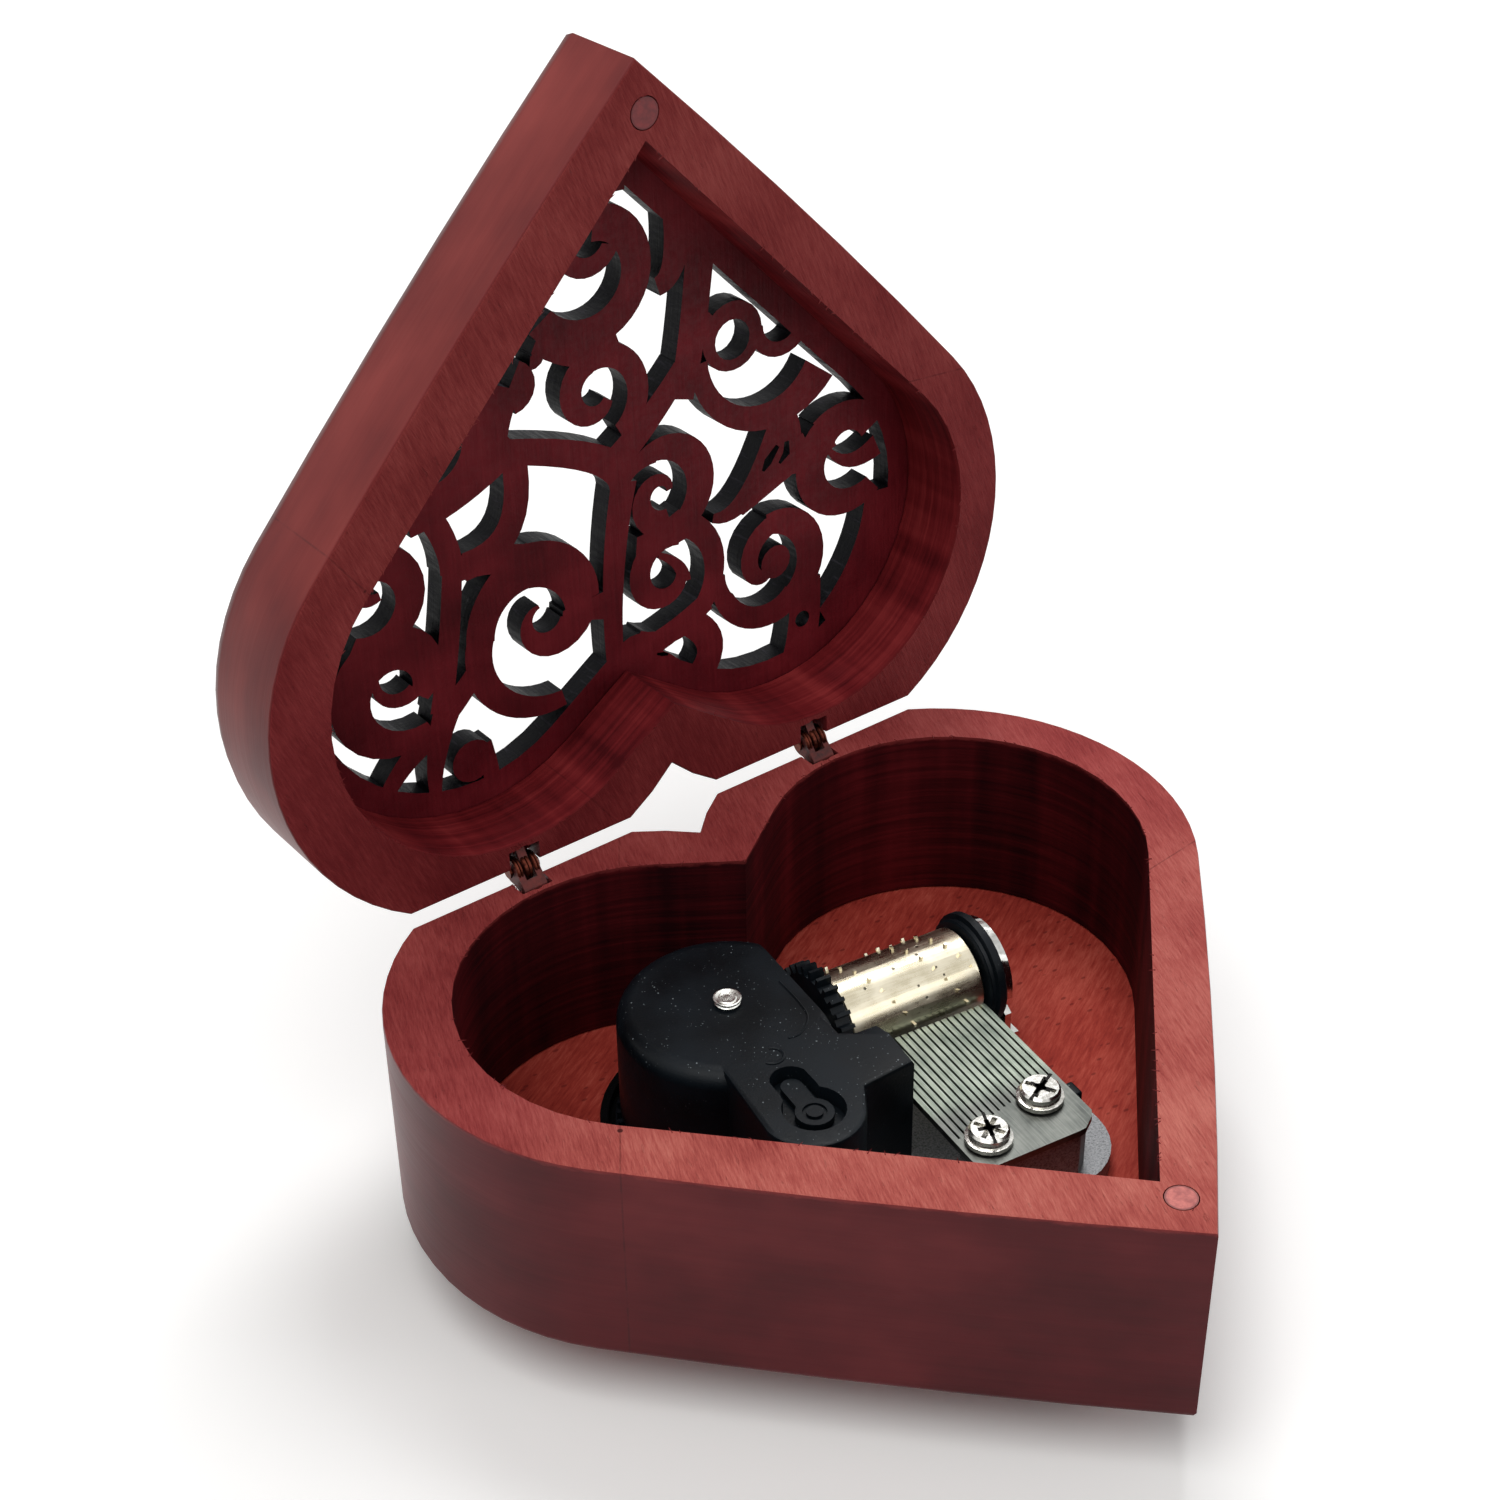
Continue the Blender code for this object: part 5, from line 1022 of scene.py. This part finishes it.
# %% [markdown]
# The router left torn fibres along the pocket edges. A particle system could scatter them, but
# the export keeps only meshes. Here each is a thin three-sided splinter that lies on the sawn
# rim at a random slant. Their places come from the edges that the merged solid has between its
# rim and its pocket wall.

# %% Edge of the pocket
CLOSING = (Matrix.Translation(HINGE_POINT) @ Matrix.Rotation(CLOSING_TURN, 4, "X")
           @ Matrix.Translation(-HINGE_POINT))


def pocket_edge(node, opened):
    """Ends of each edge between rim and pocket wall, and the way the wall faces, lid closed."""
    skin = merged_mesh(node)
    if opened:
        bmesh.ops.transform(skin, matrix=CLOSING, verts=skin.verts)
    skin.normal_update()
    rim_z = LID_RIM_Z if opened else CASE_RIM_Z
    runs = []
    for edge in skin.edges:
        if len(edge.link_faces) != 2:
            continue
        level, wall = sorted(edge.link_faces, key=lambda one: -abs(one.normal.z))
        middle = (edge.verts[0].co + edge.verts[1].co) / 2
        outward = wall.normal.x * middle.x + wall.normal.y * (middle.y - HEART_MIDDLE_Y)
        if (abs(level.normal.z) > 0.9 and abs(wall.normal.z) < 0.3 and outward < 0
                and abs(middle.z - rim_z) < 0.1 * MM):
            runs.append((edge.verts[0].co.copy(), edge.verts[1].co.copy(), wall.normal.copy()))
    skin.free()
    return runs


print("pocket edges:", len(pocket_edge("base_frame", False)), "in the case")

# %% [markdown]
# Longer edges get more splinters: the picker weighs each edge by its length. Each picker has a
# fixed seed, so every run of this notebook gives the same ones.

# %% Torn fibres
FIBRE_LENGTH, FIBRE_ROOT, FIBRE_TIP = (0.4, 1.1), 0.13 * MM, 0.02 * MM
SLANT, LIFT, OVERHANG = (-1.3, 1.3), (-0.1, 0.06), 0.1


def torn_fibres(node, opened, finish, body, seed, count):
    picker = random.Random(seed)
    runs = pocket_edge(node, opened)
    lengths = [(b - a).length for a, b, _ in runs]
    fibres = bmesh.new()
    up = -1 if opened else 1
    for _ in range(count):
        a, b, inward = picker.choices(runs, lengths)[0]
        root = a.lerp(b, picker.random())
        length = picker.uniform(*FIBRE_LENGTH) * MM
        heading = math.atan2(inward.y, inward.x) + picker.uniform(*SLANT)
        lift = picker.uniform(*LIFT) * up
        way = Vector((math.cos(heading), math.sin(heading), lift))
        turn = way.to_track_quat("Z", "Y").to_matrix().to_4x4()
        bmesh.ops.create_cone(
            fibres, cap_ends=True, segments=3, radius1=FIBRE_ROOT, radius2=FIBRE_TIP,
            depth=length, matrix=(Matrix.Translation(root) @ turn
                                  @ Matrix.Translation((0, 0, length * OVERHANG))))
    if opened:
        bmesh.ops.transform(fibres, matrix=CLOSING.inverted(), verts=fibres.verts)
    finish_piece(fibres, node + "_torn_fibres", finish, body)


torn_fibres("base_frame", False, case_wood, "case", seed=4, count=90)
torn_fibres("lid_frame", True, lid_wood, "lid", seed=9, count=90)

# %% [markdown]
# The picture was taken on a white sheet that runs out of sight. A strong lamp could burn a grey
# table out to white, but it would bleach the box as well. So the table is brighter for the
# camera and for mirrors than it is as a source of light, and it starts to glow faintly where no
# shadow reaches. The shadow close to the box stays.

# %% Table
TABLE_AS_LIGHT, TABLE_AS_SEEN = (0.72, 0.72, 0.715, 1), (1.17, 1.17, 1.165, 1)
GLOW_START, GLOW_FULL = 0.35, 1.3
MIDDLE = (0, 0, 0)


def seen_directly(tree):
    """1 for what the camera, a mirror or glass sees, 0 for light that bounces about."""
    path = tree.nodes.new("ShaderNodeLightPath")
    seen = maths(tree, "MAXIMUM", path.outputs["Is Camera Ray"], path.outputs["Is Glossy Ray"])
    return maths(tree, "MAXIMUM", seen, path.outputs["Is Transmission Ray"])


table = bmesh.new()
bmesh.ops.create_grid(table, x_segments=1, y_segments=1, size=4.0)
table_mesh = bpy.data.meshes.new("white_table")
table.to_mesh(table_mesh)
table.free()
white_table = bpy.data.objects.new("white_table", table_mesh)
bpy.context.scene.collection.objects.link(white_table)

table_paint, tree, shader, place, _ = new_finish("white table", Roughness=0.9,
                                                 Specular_IOR_Level=0.1)
tree.links.new(mix_colours(tree, seen_directly(tree), TABLE_AS_LIGHT, TABLE_AS_SEEN),
               shader.inputs["Base Color"])
shader.inputs["Emission Color"].default_value = (1, 1, 1, 1)
glow = fade(tree, distance(tree, place, MIDDLE), GLOW_START, GLOW_FULL)
tree.links.new(times(tree, seen_directly(tree), glow), shader.inputs["Emission Strength"])
table_mesh.materials.append(table_paint)
print("table:", table_paint.name)

# %% [markdown]
# The world is plain white where it is seen and dimmer as a light, for the same reason.

# %% World
WORLD_AS_LIGHT, WORLD_AS_SEEN = 0.31, 1.0

world = bpy.data.worlds.new("white room")
bpy.context.scene.world = world
world.use_nodes = True
background = world.node_tree.nodes["Background"]
background.inputs["Color"].default_value = (1, 1, 1, 1)
strength = fade(world.node_tree, seen_directly(world.node_tree), 0, 1,
                WORLD_AS_LIGHT, WORLD_AS_SEEN)
world.node_tree.links.new(strength, background.inputs["Strength"])
print("world:", world.name)

# %% [markdown]
# The shadow under the box is soft and the metal shows broad highlights, so the lamps are large: a
# window on the left, a weak fill from the front and a bright panel behind. A sun lamp would give
# hard edges. Their strengths were set until a colour renders about as it is written.

# %% Lamps
AIM = Vector((0, 0, 0.05))
# name, place, width and height, watts, tint
LAMPS = (
    ("window", (-0.4, -0.22, 1.0), (0.7, 0.7), 4.5, (1.0, 0.99, 0.97)),
    ("front_fill", (0.35, -0.95, 0.6), (0.8, 0.5), 1.35, (1, 1, 1)),
    ("back_top", (0.32, 0.42, 1.0), (0.45, 0.45), 4.9, (1, 1, 1)),
)

for name, place, size, watts, tint in LAMPS:
    light = bpy.data.lights.new(name, "AREA")
    light.shape = "RECTANGLE"
    light.size, light.size_y = size
    light.energy = watts
    light.color = tint
    lamp = bpy.data.objects.new(name, light)
    bpy.context.scene.collection.objects.link(lamp)
    turn = (AIM - Vector(place)).to_track_quat("-Z", "Y").to_matrix().to_4x4()
    lamp.matrix_world = Matrix.Translation(place) @ turn
print("lamps:", len(LAMPS))

# %% [markdown]
# The camera looks down from the front left. It could be moved by eye until the picture looks
# right. Its numbers were solved instead, so that the hearts, the hinges and the magnets fall
# where the photograph has them. Its matrix is built from the ways it calls right, up and ahead.

# %% Camera
CAMERA_PLACE = Vector((-0.16955, -0.20061, 0.25179))
CAMERA_RIGHT = Vector((0.79516, -0.60630, -0.01115))
CAMERA_UP = Vector((0.34729, 0.44025, 0.82799))
CAMERA_AHEAD = Vector((0.49710, 0.66226, -0.56063))
FOCAL_LENGTH, SENSOR_WIDTH = 62.4, 36.0

lens = bpy.data.cameras.new("camera")
lens.lens, lens.sensor_width = FOCAL_LENGTH, SENSOR_WIDTH
lens.clip_start, lens.clip_end = 0.01, 10.0
camera = bpy.data.objects.new("camera", lens)
bpy.context.scene.collection.objects.link(camera)
turn = Matrix((CAMERA_RIGHT, CAMERA_UP, -CAMERA_AHEAD)).transposed().to_4x4()
camera.matrix_world = Matrix.Translation(CAMERA_PLACE) @ turn
bpy.context.scene.camera = camera
bpy.context.scene.view_settings.view_transform = "Standard"
print("camera at", tuple(round(v, 3) for v in CAMERA_PLACE))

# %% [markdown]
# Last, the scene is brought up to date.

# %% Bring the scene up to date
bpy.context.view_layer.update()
